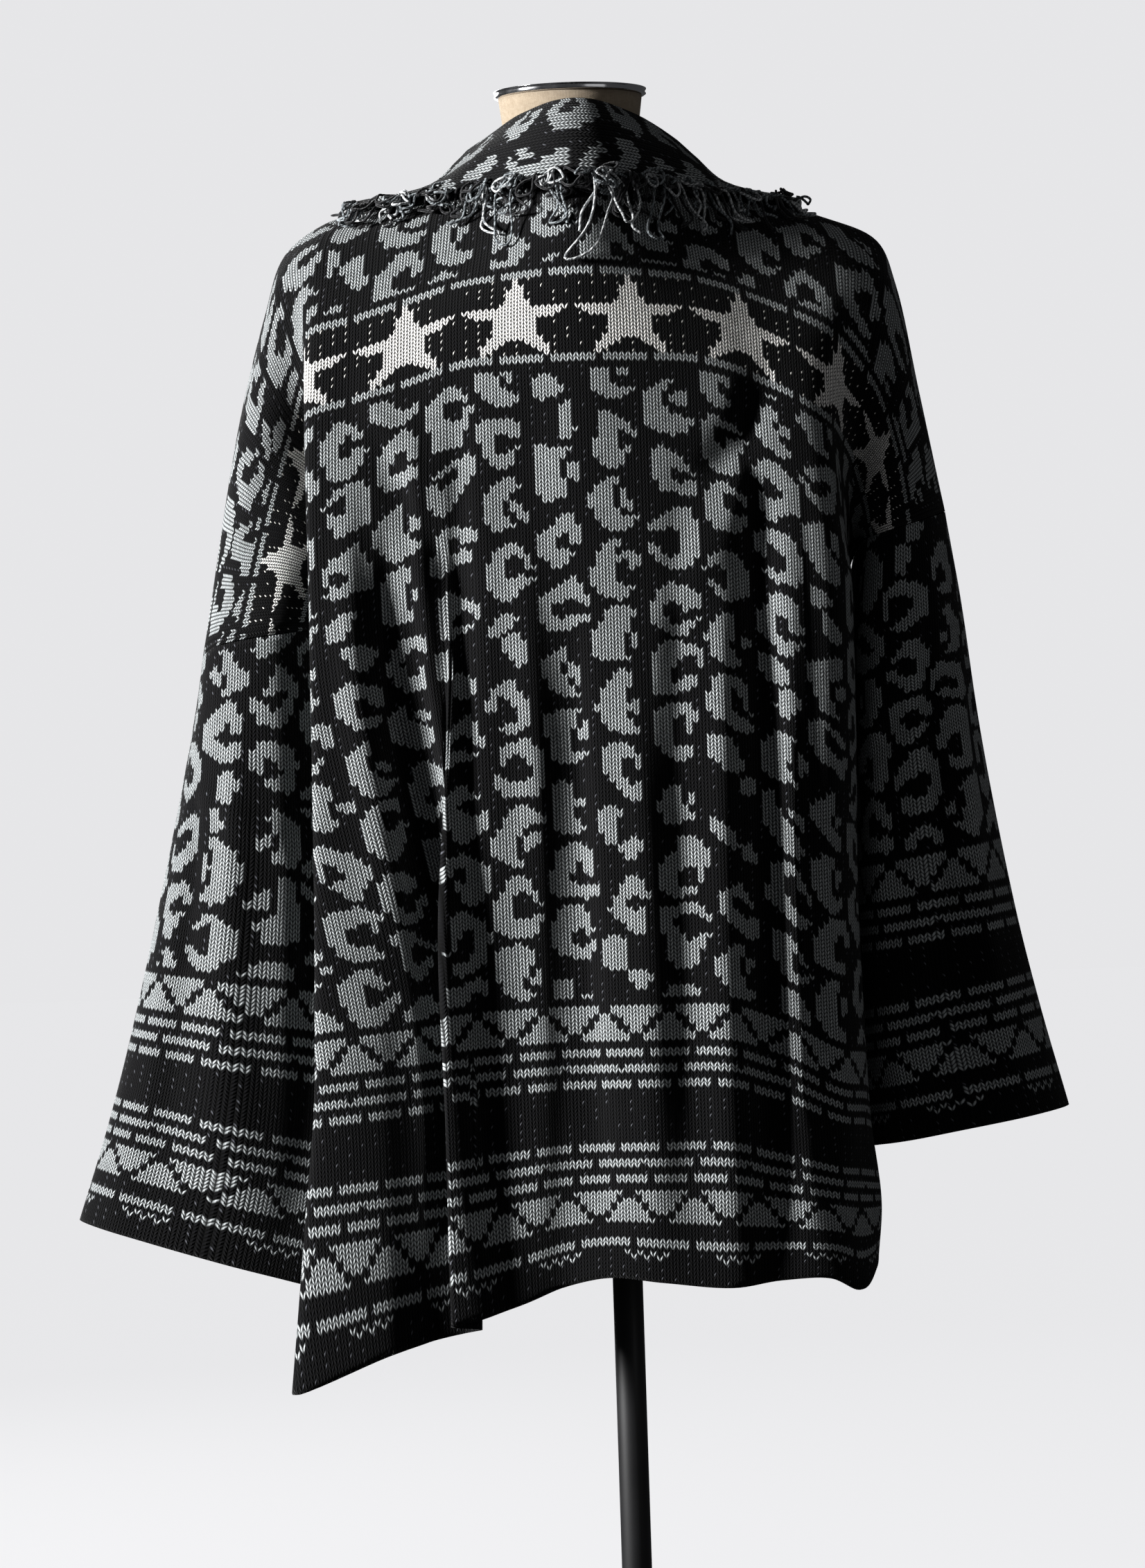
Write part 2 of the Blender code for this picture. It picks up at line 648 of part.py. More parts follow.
def fringe(name, edges, ways, marks, strands, lengths, material):
    """A narrow strip along the collar's edge with strands drawn out of every other face."""
    count = 2 * strands + 2
    joined = resampled(np.hstack((edges, ways, marks)), count)
    edge = joined[:, :3]
    way = joined[:, 3:6]
    way /= np.linalg.norm(way, axis=1, keepdims=True)
    mark = joined[:, 6:]
    along = np.gradient(edge, axis=0)
    along /= np.linalg.norm(along, axis=1, keepdims=True)
    normal = np.cross(along, way)
    normal /= np.linalg.norm(normal, axis=1, keepdims=True)
    for j in range(count):
        up = lying(mark[j][0], mark[j][1], 1.0) - lying(mark[j][0], mark[j][1], 0.0)
        normal[j] *= 1 if np.dot(up, normal[j]) > 0 else -1
    near = edge + way * STRIP_GAP
    far = near + way * STRIP_WIDTH
    half = normal * STRIP_THICKNESS / 2
    corners = np.stack((near + half, near - half, far - half, far + half), axis=1)
    verts = [tuple(c) for station in corners for c in station]
    faces = [(0, 1, 2, 3), tuple(4 * (count - 1) + k for k in range(4))]
    for j in range(count - 1):
        for k in range(4):
            a = 4 * j + k
            b = 4 * j + (k + 1) % 4
            if k == 2 and j % 2 == 0 and j > 0:
                continue
            faces.append((a, b, b + 4, a + 4))
        if j % 2 or j == 0:
            continue
        root = [4 * j + 2, 4 * j + 3, 4 * j + 7, 4 * j + 6]
        x, down, turn_x, turn_down = (mark[j] + mark[j + 1]) / 2
        length = lengths[(j // 2) % len(lengths)]
        middle = np.mean([verts[v] for v in root], axis=0)
        lean = 5.0 * math.sin(2.3 * j)
        reach = math.hypot(turn_x, turn_down)
        start = lying(x, down, 0.0)
        clear = float(np.linalg.norm(middle - start))
        for step in (0.3, 0.65, 1.0):
            px = x + (turn_x / reach * length + lean) * step
            pd = down + turn_down / reach * length * step
            lift = STRAND_LIFT + (clear - STRAND_LIFT) * (1 - step) ** 2 * 0.8
            place = lying(px, pd, lift)
            up = lying(px, pd, lift + 1.0) - place
            side = (along[j] + along[j + 1]) / 2
            thin = 1.4 - 0.5 * step
            ring = []
            for a, b in ((-1, -1), (-1, 1), (1, 1), (1, -1)):
                ring.append(len(verts))
                verts.append(tuple(place + side * a * thin * 1.2 + up * b * thin))
            for k in range(4):
                faces.append((root[k], root[(k + 1) % 4], ring[(k + 1) % 4], ring[k]))
            root = ring
        faces.append(tuple(root))
    new_object(name, np.array(verts) * MM, faces, material)


bpy.context.scene.unit_settings.system = "METRIC"
for old in list(bpy.data.objects):
    bpy.data.objects.remove(old, do_unlink=True)

KNIT = new_material("black and grey jacquard knit", (0.055, 0.055, 0.062), 0.9, 0.0)
SLEEVE_KNIT = new_material("black and grey sleeve knit", (0.06, 0.06, 0.068), 0.9, 0.0)
COLLAR_KNIT = new_material("black and grey collar knit", (0.07, 0.07, 0.078), 0.9, 0.0)
FRINGE_YARN = new_material("unravelled grey and black yarn", (0.11, 0.11, 0.12), 0.9, 0.0)
LINEN = new_material("linen form cover", (0.62, 0.5, 0.36), 0.85, 0.0)
CHROME = new_material("chromed neck cap", (0.62, 0.62, 0.64), 0.15, 1.0)
BLACK_STEEL = new_material("black powder-coated steel", (0.02, 0.02, 0.022), 0.35, 0.0)

back = back_grid()
back_normal = grid_normals(back)
neck_columns = [j for j in range(back.shape[1]) if scoop(back[0, j, 0] / MM) > 0]
back, back_normal = panel_seams(back, back_normal, 1, (0, back.shape[1] - 1), neck_columns)
cloth("back", back, back_normal, KNIT)

fronts = {}
for side, word in ((LEFT, "left"), (RIGHT, "right")):
    front = front_grid(side)
    front_normal = grid_normals(front)
    front, front_normal = panel_seams(front, front_normal, -1, (front.shape[1] - 1,))
    cloth(f"front_{word}", front, front_normal, KNIT)
    fronts[side] = (front, front_normal)
    loop = armhole_loop(side, back, back_normal, front, front_normal)
    sleeve, middle = sleeve_grid(side, loop)
    sleeve_normal = grid_normals(sleeve, closed=True)
    cloth(f"sleeve_{word}", sleeve, sleeve_normal, SLEEVE_KNIT, closed=True)

left_part, back_part, right_part = collar_stations(back, fronts, neck_columns)
stations = left_part + back_part + right_part
collar = np.array([collar_section(station) for station in stations])
cloth("collar", collar * MM, grid_normals(collar), COLLAR_KNIT)


def fringe_line(part, turns):
    """Edge points, ways on and strand marks along one part of the collar."""
    sections = [collar_section(station) for station in part]
    edges = np.array([section[-1] for section in sections])
    ways = np.array([section[-1] - section[-2] for section in sections])
    ways /= np.linalg.norm(ways, axis=1, keepdims=True)
    marks = []
    for station, turn in zip(part, turns):
        place = station[0]
        down = place if place < 0 else 0.0
        if place >= 0:
            down = COLLAR_BACK_DROP + (COLLAR_CORNER_DROP - COLLAR_BACK_DROP) * (1 - place / 80.0)
        marks.append((station[5], down, *turn))
    return edges, ways, np.array(marks, float)


back_turns = []
for place, side, edge, out, fall, reach in back_part:
    share = math.sqrt(1 - place / 80.0)
    back_turns.append((side * 0.8 * share, 1.0 - 0.55 * share))
fringe("fringe_back", *fringe_line(back_part, back_turns), BACK_STRANDS, BACK_STRAND_LENGTHS, FRINGE_YARN)
for part, side, word in ((left_part[:-1], LEFT, "left"), (right_part[1:], RIGHT, "right")):
    turns = [(side * 0.6, -1.0)] * len(part)
    fringe(f"fringe_{word}", *fringe_line(part, turns), FRONT_STRANDS, FRONT_STRAND_LENGTHS, FRINGE_YARN)


def form_rings():
    rings = []
    for up, middle, half, behind, ahead in FORM_ROWS:
        ring = []
        for k in range(FORM_SIDES):
            angle = 2 * math.pi * k / FORM_SIDES
            deep = behind if math.sin(angle) > 0 else ahead
            ring.append(((middle + half * math.cos(angle)) * MM, deep * math.sin(angle) * MM, up * MM))
        rings.append(np.array(ring))
    socket = []
    for up in (FORM_SOCKET_TOP, FORM_ROWS[0][0]):
        ring = []
        for k in range(FORM_SIDES):
            angle = 2 * math.pi * k / FORM_SIDES
            ring.append(
                (POLE_SOCKET_RADIUS * math.cos(angle) * MM, POLE_SOCKET_RADIUS * math.sin(angle) * MM, up * MM)
            )
        socket.append(np.array(ring))
    return socket + rings


lofted("form", form_rings(), LINEN)
turned(
    "neck_cap",
    ((57.0, NECK_CAP_BOTTOM), (58.5, NECK_CAP_BOTTOM + 1.2), (58.5, NECK_CAP_TOP - 1.2), (57.0, NECK_CAP_TOP)),
    CHROME,
    middle_x=15.0,
)
turned("pole", ((POLE_RADIUS, POLE_BOTTOM), (POLE_RADIUS, POLE_TOP)), BLACK_STEEL)
turned(
    "base",
    (
        (POLE_SOCKET_RADIUS, 12.0),
        (POLE_SOCKET_RADIUS, 46.0),
        (19.0, 46.0),
        (21.0, 44.0),
        (22.0, 18.0),
        (170.0, 11.0),
        (186.0, 8.0),
        (BASE_RADIUS, 4.0),
        (BASE_RADIUS, 0.0),
    ),
    BLACK_STEEL,
)
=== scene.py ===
"""Open knitted cardigan with a fringed collar on a limbless dress form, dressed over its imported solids.

Metres, Z up. The front of the garment faces -Y and the wearer's left is +X. Tables are in millimetres.
"""

import logging
import math
from dataclasses import dataclass, field
from enum import Enum
from functools import lru_cache
from typing import Sequence, Union

import bmesh
import bpy
import numpy as np
from mathutils import Matrix, Vector


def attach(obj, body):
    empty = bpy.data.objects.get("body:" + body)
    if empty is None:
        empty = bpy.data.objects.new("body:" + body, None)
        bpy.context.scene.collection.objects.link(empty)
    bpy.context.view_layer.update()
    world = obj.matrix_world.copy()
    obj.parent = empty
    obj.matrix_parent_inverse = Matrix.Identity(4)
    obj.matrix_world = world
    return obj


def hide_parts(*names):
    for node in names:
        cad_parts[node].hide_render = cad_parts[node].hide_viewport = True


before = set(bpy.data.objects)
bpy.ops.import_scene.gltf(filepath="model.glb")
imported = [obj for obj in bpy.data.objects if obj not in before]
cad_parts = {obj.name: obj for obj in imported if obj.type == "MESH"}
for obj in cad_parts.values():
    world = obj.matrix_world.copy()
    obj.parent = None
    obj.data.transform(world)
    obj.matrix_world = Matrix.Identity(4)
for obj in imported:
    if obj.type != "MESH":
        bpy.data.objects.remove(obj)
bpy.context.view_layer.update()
LOG = logging.getLogger("cardigan")

MM = 0.001
WALL = 3.0 * MM
SEAM_GAP = 0.3 * MM
HALF_SEAM = 0.15 * MM

# In millimetres, as in the tables, apart from the front's depth, which is a share of the back's.
MIDDLE_X = 12.0
BODY_LENGTH = 872.0
ARMHOLE = 240.0
FRONT_DEPTH_SHARE = 0.92
COURSES = 300
COURSE = BODY_LENGTH / COURSES
WALE = 4.85

Socket = Union[bpy.types.NodeSocket, float, tuple]


class Side(Enum):
    """Which side of the wearer a piece is on."""

    LEFT = 1
    RIGHT = -1


# Name, side, number of yarns and of curls, and least and most length of a yarn.
FRINGE_PARTS = (
    ("back", None, 68, (10.0, 72.0)),
    ("left", Side.LEFT, 36, (14.0, 56.0)),
    ("right", Side.RIGHT, 36, (14.0, 56.0)),
)


def linear(code: str) -> tuple[float, float, float, float]:
    """Turn an sRGB hex colour into a linear one.

    Args:
        code: The colour as "#rrggbb".

    Returns:
        Red, green, blue and an alpha of one.
    """
    parts = [int(code[i : i + 2], 16) / 255 for i in (1, 3, 5)]
    red, green, blue = (c / 12.92 if c <= 0.04045 else ((c + 0.055) / 1.055) ** 2.4 for c in parts)
    return red, green, blue, 1.0


def slopes(x: np.ndarray, y: np.ndarray) -> np.ndarray:
    """Slopes that keep a curve through the points free of overshoot.

    Args:
        x: Rising places.
        y: A row of values for each place.

    Returns:
        A row of slopes for each place.
    """
    rise = np.diff(y, axis=0) / np.diff(x)[:, None]
    slope = np.zeros_like(y)
    slope[0] = rise[0]
    slope[-1] = rise[-1]
    before, after = rise[:-1], rise[1:]
    same = before * after > 0
    both = np.where(same, before + after, 1.0)
    slope[1:-1] = np.where(same, 2.0 * before * after / both, 0.0)
    return slope


def through(x: Sequence[float], y: Sequence, at: Sequence[float] | float) -> np.ndarray:
    """Read a smooth curve through the points.

    Args:
        x: Rising places.
        y: A row of values for each place.
        at: Where to read it.

    Returns:
        A row for each place read.
    """
    x = np.asarray(x, float)
    y = np.asarray(y, float)
    at = np.atleast_1d(np.asarray(at, float))
    slope = slopes(x, y)
    i = np.clip(np.searchsorted(x, at, side="right") - 1, 0, len(x) - 2)
    h = (x[i + 1] - x[i])[:, None]
    u = np.clip((at - x[i])[:, None] / h, 0.0, 1.0)
    out = (2 * u**3 - 3 * u**2 + 1) * y[i] + (u**3 - 2 * u**2 + u) * h * slope[i]
    out += (3 * u**2 - 2 * u**3) * y[i + 1] + (u**3 - u**2) * h * slope[i + 1]
    return out


@lru_cache(maxsize=None)
def table(rows: tuple) -> tuple[np.ndarray, np.ndarray]:
    """Split rows into the places that they start with and the numbers or points after them, laid flat."""
    return np.array([row[0] for row in rows], float), np.array([np.hstack(row[1:]) for row in rows], float)


def row_at(rows: tuple, at: float) -> np.ndarray:
    """Read a smooth curve through a table's rows at one place.

    Args:
        rows: Rows that start with their place, then hold numbers or points.
        at: The place.

    Returns:
        The numbers there, in one flat row.
    """
    return through(*table(rows), at)[0]


def eased(share: np.ndarray | float) -> np.ndarray:
    """Ease from nought to one without a kink at either end."""
    u = np.clip(share, 0.0, 1.0)
    return u * u * (3 - 2 * u)


def rounded(points: Sequence, parts: int) -> np.ndarray:
    """Draw a rounded line through the points.

    Args:
        points: The points in order.
        parts: How many parts lie between each two.

    Returns:
        The line's points.
    """
    points = np.asarray(points, float)
    chord = np.sqrt(np.linalg.norm(np.diff(points, axis=0), axis=1)) + 1e-9
    rise = np.diff(points, axis=0) / chord[:, None]
    slope = np.zeros_like(points)
    slope[0] = rise[0]
    slope[-1] = rise[-1]
    share = (chord[:-1] / (chord[:-1] + chord[1:]))[:, None]
    slope[1:-1] = (1 - share) * rise[:-1] + share * rise[1:]
    u = (np.arange(parts) / parts)[None, :, None]
    h = chord[:, None, None]
    start, end = points[:-1, None], points[1:, None]
    leave, arrive = slope[:-1, None], slope[1:, None]
    out = (2 * u**3 - 3 * u**2 + 1) * start + (u**3 - 2 * u**2 + u) * h * leave
    out = out + (3 * u**2 - 2 * u**3) * end + (u**3 - u**2) * h * arrive
    return np.vstack((out.reshape(-1, points.shape[1]), points[-1:]))


def directions(grid: np.ndarray) -> np.ndarray:
    """Mean of the unit directions into and out of each point along the first axis."""
    step = np.diff(grid, axis=0)
    step /= np.maximum(np.linalg.norm(step, axis=2, keepdims=True), 1e-12)
    return (np.concatenate((step[:1], step)) + np.concatenate((step, step[-1:]))) / 2


def unit(rows: np.ndarray) -> np.ndarray:
    """Scale the last axis to unit length."""
    return rows / np.maximum(np.linalg.norm(rows, axis=-1, keepdims=True), 1e-12)


def grid_normals(grid: np.ndarray, closed: bool = False) -> np.ndarray:
    """Find the unit normals of a grid.

    Args:
        grid: Points by row and column.
        closed: Whether the last column meets the first.

    Returns:
        A unit normal for each point.
    """
    down = directions(grid)
    if closed:
        wide = np.concatenate((grid[:, -1:], grid, grid[:, :1]), axis=1)
        across = directions(wide.swapaxes(0, 1)).swapaxes(0, 1)[:, 1:-1]
    else:
        across = directions(grid.swapaxes(0, 1)).swapaxes(0, 1)
    return unit(np.cross(across, down))


def run_length(line: np.ndarray) -> np.ndarray:
    """Length along a line up to each of its points."""
    return np.concatenate(([0.0], np.cumsum(np.linalg.norm(np.diff(line, axis=0), axis=1))))


@dataclass(frozen=True)
class Crease:
    """A soft trough or ridge pressed into a cloth grid.

    Places are in stitch counts: wales across and courses down.
    """

    start: tuple[float, float]
    end: tuple[float, float]
    width: float
    out: float
    bow: float = 0.0

    def height(self, wales: np.ndarray, courses: np.ndarray) -> np.ndarray:
        """How far the crease moves each point, in millimetres.

        Args:
            wales: Wale of each point.
            courses: Course of each point.

        Returns:
            The outward move of each point.
        """
        x = wales * WALE
        y = courses * COURSE
        x0, y0 = self.start[0] * WALE, self.start[1] * COURSE
        x1, y1 = self.end[0] * WALE, self.end[1] * COURSE
        length = math.hypot(x1 - x0, y1 - y0)
        along = ((x - x0) * (x1 - x0) + (y - y0) * (y1 - y0)) / length**2
        off = ((x - x0) * (y1 - y0) - (y - y0) * (x1 - x0)) / length
        off = off - self.bow * 4 * along * (1 - along)
        # It runs out a little past its ends, and widens by two thirds from its start to its end.
        fade = eased(np.minimum(along + 0.15, 1.15 - along) / 0.4)
        width = self.width * (0.75 + 0.5 * along)
        return self.out * fade * np.exp(-((off / width) ** 2))


@dataclass
class Drape:
    """The hang of the garment: named points round the body at each distance down from the shoulder.

    A row is a distance down, then (sideways, back, up) of five points from the fold at the body's edge
    round to the side seam or the armhole. Rows of the middle have (back, up) at each of middle_x. A fold is
    its place at the shoulders, its place at the hem and how far it stands out.
    """

    side_rows: dict[Side, tuple] = field(
        default_factory=lambda: {
            Side.LEFT: (
                (0, (205, 0, 1402), (236, 0, 1379), (252, 0, 1335), (277, 0, 1241), (307, 0, 1073)),
                (40, (211, 30, 1384), (238, 30, 1358), (252, 34, 1312), (276, 42, 1225), (305, 44, 1075)),
                (90, (217, 56, 1342), (229, 50, 1314), (240, 50, 1280), (264, 66, 1190), (293, 70, 1082)),
                (145, (219, 84, 1289), (213, 64, 1268), (219, 46, 1246), (240, 72, 1168), (256, 84, 1088)),
                (200, (220, 103, 1238), (208, 80, 1216), (200, 58, 1186), (212, 66, 1132), (226, 66, 1091)),
                (240, (220, 112, 1200), (205, 88, 1174), (192, 62, 1136), (192, 50, 1084), (207, 0, 1086)),
                (300, (220, 121, 1142), (203, 97, 1118), (184, 68, 1078), (177, 38, 1036), (186, 0, 1034)),
                (400, (221, 130, 1045), (201, 105, 1032), (177, 74, 1012), (169, 38, 996), (170, 0, 990)),
                (550, (223, 136, 900), (199, 109, 890), (175, 78, 880), (168, 40, 870), (167, 0, 866)),
                (700, (227, 142, 752), (204, 114, 745), (180, 82, 738), (172, 42, 730), (171, 0, 726)),
                (800, (238, 148, 640), (214, 118, 644), (190, 86, 650), (178, 43, 655), (174, 0, 656)),
                (872, (250, 152, 524), (228, 120, 548), (200, 88, 578), (186, 44, 594), (180, 0, 598)),
            ),
            Side.RIGHT: (
                (0, (178, 0, 1394), (215, 0, 1376), (228, 0, 1343), (243, 0, 1262), (260, 0, 1168)),
                (40, (181, 31, 1374), (213, 32, 1350), (226, 36, 1318), (241, 42, 1246), (257, 42, 1166)),
                (90, (179, 60, 1332), (204, 58, 1306), (217, 58, 1280), (231, 68, 1222), (243, 72, 1161)),
                (145, (171, 84, 1278), (189, 68, 1258), (203, 66, 1238), (214, 78, 1196), (217, 84, 1153)),
                (200, (168, 100, 1226), (180, 74, 1210), (187, 58, 1196), (194, 60, 1170), (199, 64, 1147)),
                (240, (168, 108, 1188), (178, 80, 1172), (182, 56, 1156), (183, 34, 1138), (192, 0, 1142)),
                (300, (171, 116, 1130), (183, 88, 1114), (181, 64, 1098), (172, 30, 1084), (176, 0, 1086)),
                (400, (169, 123, 1030), (182, 95, 1022), (181, 70, 1014), (168, 32, 1004), (167, 0, 1000)),
                (550, (158, 126, 884), (178, 100, 880), (179, 74, 874), (169, 34, 866), (167, 0, 862)),
                (700, (162, 132, 738), (180, 106, 734), (183, 78, 728), (173, 38, 722), (170, 0, 718)),
                (800, (156, 140, 656), (174, 118, 652), (190, 88, 650), (184, 44, 650), (177, 0, 650)),
                (872, (150, 148, 597), (172, 136, 587), (184, 108, 600), (187, 52, 612), (180, 0, 616)),
            ),
        }
    )
    middle_rows: tuple = (
        (0, (60, 1459), (0, 1429), (0, 1427), (0, 1417), (0, 1411)),
        (40, (80, 1424), (36, 1410), (36, 1408), (33, 1398), (33, 1392)),
        (90, (104, 1381), (70, 1372), (70, 1370), (63, 1360), (63, 1354)),
        (145, (120, 1328), (101, 1326), (101, 1324), (90, 1311), (90, 1309)),
        (200, (129, 1274), (116, 1273), (116, 1271), (107, 1259), (107, 1256)),
        (240, (132, 1234), (121, 1233), (121, 1232), (114, 1220), (114, 1217)),
        (300, (134, 1174), (126, 1173), (126, 1172), (121, 1161), (121, 1158)),
        (400, (137, 1074), (131, 1073), (131, 1072), (128, 1062), (128, 1059)),
        (550, (141, 924), (136, 923), (136, 922), (134, 912), (134, 911)),
        (700, (146, 774), (141, 771), (141, 773), (140, 762), (140, 762)),
        (800, (150, 674), (145, 664), (145, 672), (146, 652), (146, 664)),
        (872, (153, 603), (149, 577), (149, 593), (150, 562), (150, 597)),
    )
    middle_x: tuple = (12.0, 92.0, -68.0, 147.0, -118.0)
    back_folds: tuple = (
        (-118, -114, 1),
        (-75, -76, 10),
        (-25, -26, 8),
        (12, 14, 0),
        (46, 50, -13),
        (74, 82, -4),
        (96, 108, 8),
        (114, 131, 11),
        (127, 112, 0),
        (140, 123, -13),
        (158, 150, -15),
        (182, 180, 2),
    )
    front_folds: dict[Side, tuple] = field(
        default_factory=lambda: {
            Side.LEFT: ((0.0, 2), (0.2, 8), (0.45, -9), (0.7, 9), (0.87, -3)),
            Side.RIGHT: ((0.0, -2), (0.25, 9), (0.5, -8), (0.75, 8), (0.9, -2)),
        }
    )
    front_edge: tuple = ((0, 80), (40, 75), (90, 67), (145, 59), (200, 52), (240, 47), (300, 42), (872, 40))
    fold_start: float = 170.0
    fold_full: float = 760.0
    neck_scoop: float = 25.0
    neck_half_width: float = 80.0

    def side_points(self, side: Side, down: float) -> np.ndarray:
        """The five named points of a side, from the fold edge to the seam."""
        values = row_at(self.side_rows[side], down).reshape(5, 3)
        values[:, 0] *= side.value
        return values

    def growth(self, down: float) -> float:
        """How far the folds have opened at a distance down, from 0 to 1."""
        return float(eased((down - self.fold_start) / (self.fold_full - self.fold_start)))

    def smooth(self, x: Sequence[float] | float, down: float) -> np.ndarray:
        """Back and up of the unfolded back at each sideways place.

        Args:
            x: Sideways places.
            down: Distance down from the shoulder line.

        Returns:
            A row of back and up for each place.
        """
        pairs = row_at(self.middle_rows, down).reshape(5, 2)
        known = [(x, *pair) for x, pair in zip(self.middle_x, pairs)]
        known += [tuple(self.side_points(side, down)[0]) for side in Side]
        known_rows = np.array(sorted(known))
        return through(known_rows[:, 0], known_rows[:, 1:], x)

    def back_row(self, down: float) -> np.ndarray:
        """Key points across the back at a distance down."""
        grown = self.growth(down)
        keys = []
        for smooth_x, hem_x, out in self.back_folds:
            y, z = self.smooth(smooth_x, down)[0]
            keys.append((smooth_x + grown * (hem_x - smooth_x), y + grown * out, z))
        right = self.side_points(Side.RIGHT, down)[::-1]
        return np.vstack((right, keys, self.side_points(Side.LEFT, down)))

    def front_row(self, side: Side, down: float) -> np.ndarray:
        """Key points across one front, from its open edge to the side seam, as if it were the back."""
        grown = self.growth(down)
        inner = MIDDLE_X + side.value * row_at(self.front_edge, down)[0]
        points = self.side_points(side, down)
        keys = []
        for share, out in self.front_folds[side]:
            x = inner + share * (points[0][0] - inner)
            y, z = self.smooth(x, down)[0]
            keys.append((x, y + grown * out, z))
        return np.vstack((keys, points))

    def scoop(self, x: float) -> float:
        """How far the neckline lies below the shoulder line at a sideways place."""
        share = (x - MIDDLE_X) / self.neck_half_width
        return self.neck_scoop * max(0.0, 1.0 - share * share)

    def lying_point(self, x: float, down: float) -> np.ndarray:
        """A point of the smooth garment; below zero, the distance is down the front."""
        y, z = self.smooth(x, abs(down))[0]
        return np.array((x, y * (-FRONT_DEPTH_SHARE if down < 0 else 1.0), z))

    def lying(self, x: float, down: float, lift: float) -> np.ndarray:
        """A point lifted off the smooth garment along its normal.

        Args:
            x: Sideways place.
            down: Distance down the back, or down the front below zero.
            lift: Height over the cloth.

        Returns:
            The point.
        """
        across = self.lying_point(x + 3, down) - self.lying_point(x - 3, down)
        along = self.lying_point(x, down + 6) - self.lying_point(x, down - 6)
        normal = np.cross(across, along)
        normal *= -1 if normal[2] < 0 else 1
        if (down < 0 and normal[1] > 0) or (down > 20 and normal[1] < 0):
            normal *= -1
        return self.lying_point(x, down) + lift * normal / np.linalg.norm(normal)


@dataclass
class ClothGrid:
    """The middle surface of a cloth piece with its normals and stitch counts."""

    points: np.ndarray
    normals: np.ndarray
    wales: np.ndarray
    courses: np.ndarray
    closed: bool = False

    def press(self, creases: Sequence[Crease], fade: np.ndarray | float = 1.0) -> None:
        """Press creases into the grid.

        Args:
            creases: The creases.
            fade: How much of them each point takes.
        """
        move = sum((crease.height(self.wales, self.courses) for crease in creases), np.zeros_like(self.wales))
        self.points = self.points + self.normals * (move * fade * MM)[..., None]

    def shell(self, name: str) -> bpy.types.Object:
        """Make the cloth wall, thick both ways, with its rims and stitch coordinates.

        Args:
            name: Name of the piece.

        Returns:
            The piece.
        """
        points, normals, wales, courses = self.points, self.normals, self.wales, self.courses
        if self.closed:
            points = np.concatenate((points, points[:, :1]), axis=1)
            normals = np.concatenate((normals, normals[:, :1]), axis=1)
        rows, columns = points.shape[:2]
        body = bmesh.new()
        uv_layer = body.loops.layers.uv.new("knit")
        spot = body.verts.layers.int.new("spot")
        bmesh.ops.create_grid(body, x_segments=columns - 1, y_segments=rows - 1, size=1.0)
        body.verts.ensure_lookup_table()
        outer = (points + normals * WALL / 2).reshape(-1, 3)
        inner = (points - normals * WALL / 2).reshape(-1, 3)
        for k, vert in enumerate(body.verts):
            vert.co = outer[k]
            vert[spot] = k
        flat_wales = wales.reshape(-1)
        flat_courses = courses.reshape(-1)
        for face in body.faces:
            for loop in face.loops:
                k = loop.vert[spot]
                loop[uv_layer].uv = (flat_wales[k], flat_courses[k])
        grown = bmesh.ops.extrude_face_region(body, geom=list(body.faces), use_keep_orig=True)
        for item in grown["geom"]:
            if isinstance(item, bmesh.types.BMVert):
                item.co = inner[item[spot]]
        if self.closed:
            edge = [v for v in body.verts if v[spot] % columns in (0, columns - 1)]
            seam = [f for f in body.faces if all(v[spot] % columns in (0, columns - 1) for v in f.verts)]
            bmesh.ops.delete(body, geom=seam, context="FACES_ONLY")
            bmesh.ops.remove_doubles(body, verts=edge, dist=1e-6)
        return finish_mesh(name, body)


def finish_mesh(name: str, body: bmesh.types.BMesh) -> bpy.types.Object:
    """Turn a bmesh into a smooth-shaded piece whose faces point out.

    Args:
        name: Name of the piece.
        body: The bmesh, freed here.

    Returns:
        The piece.
    """
    bmesh.ops.recalc_face_normals(body, faces=body.faces)
    for face in body.faces:
        face.smooth = True
    mesh = bpy.data.meshes.new(name)
    body.to_mesh(mesh)
    body.free()
    piece = bpy.data.objects.new(name, mesh)
    bpy.context.collection.objects.link(piece)
    return piece


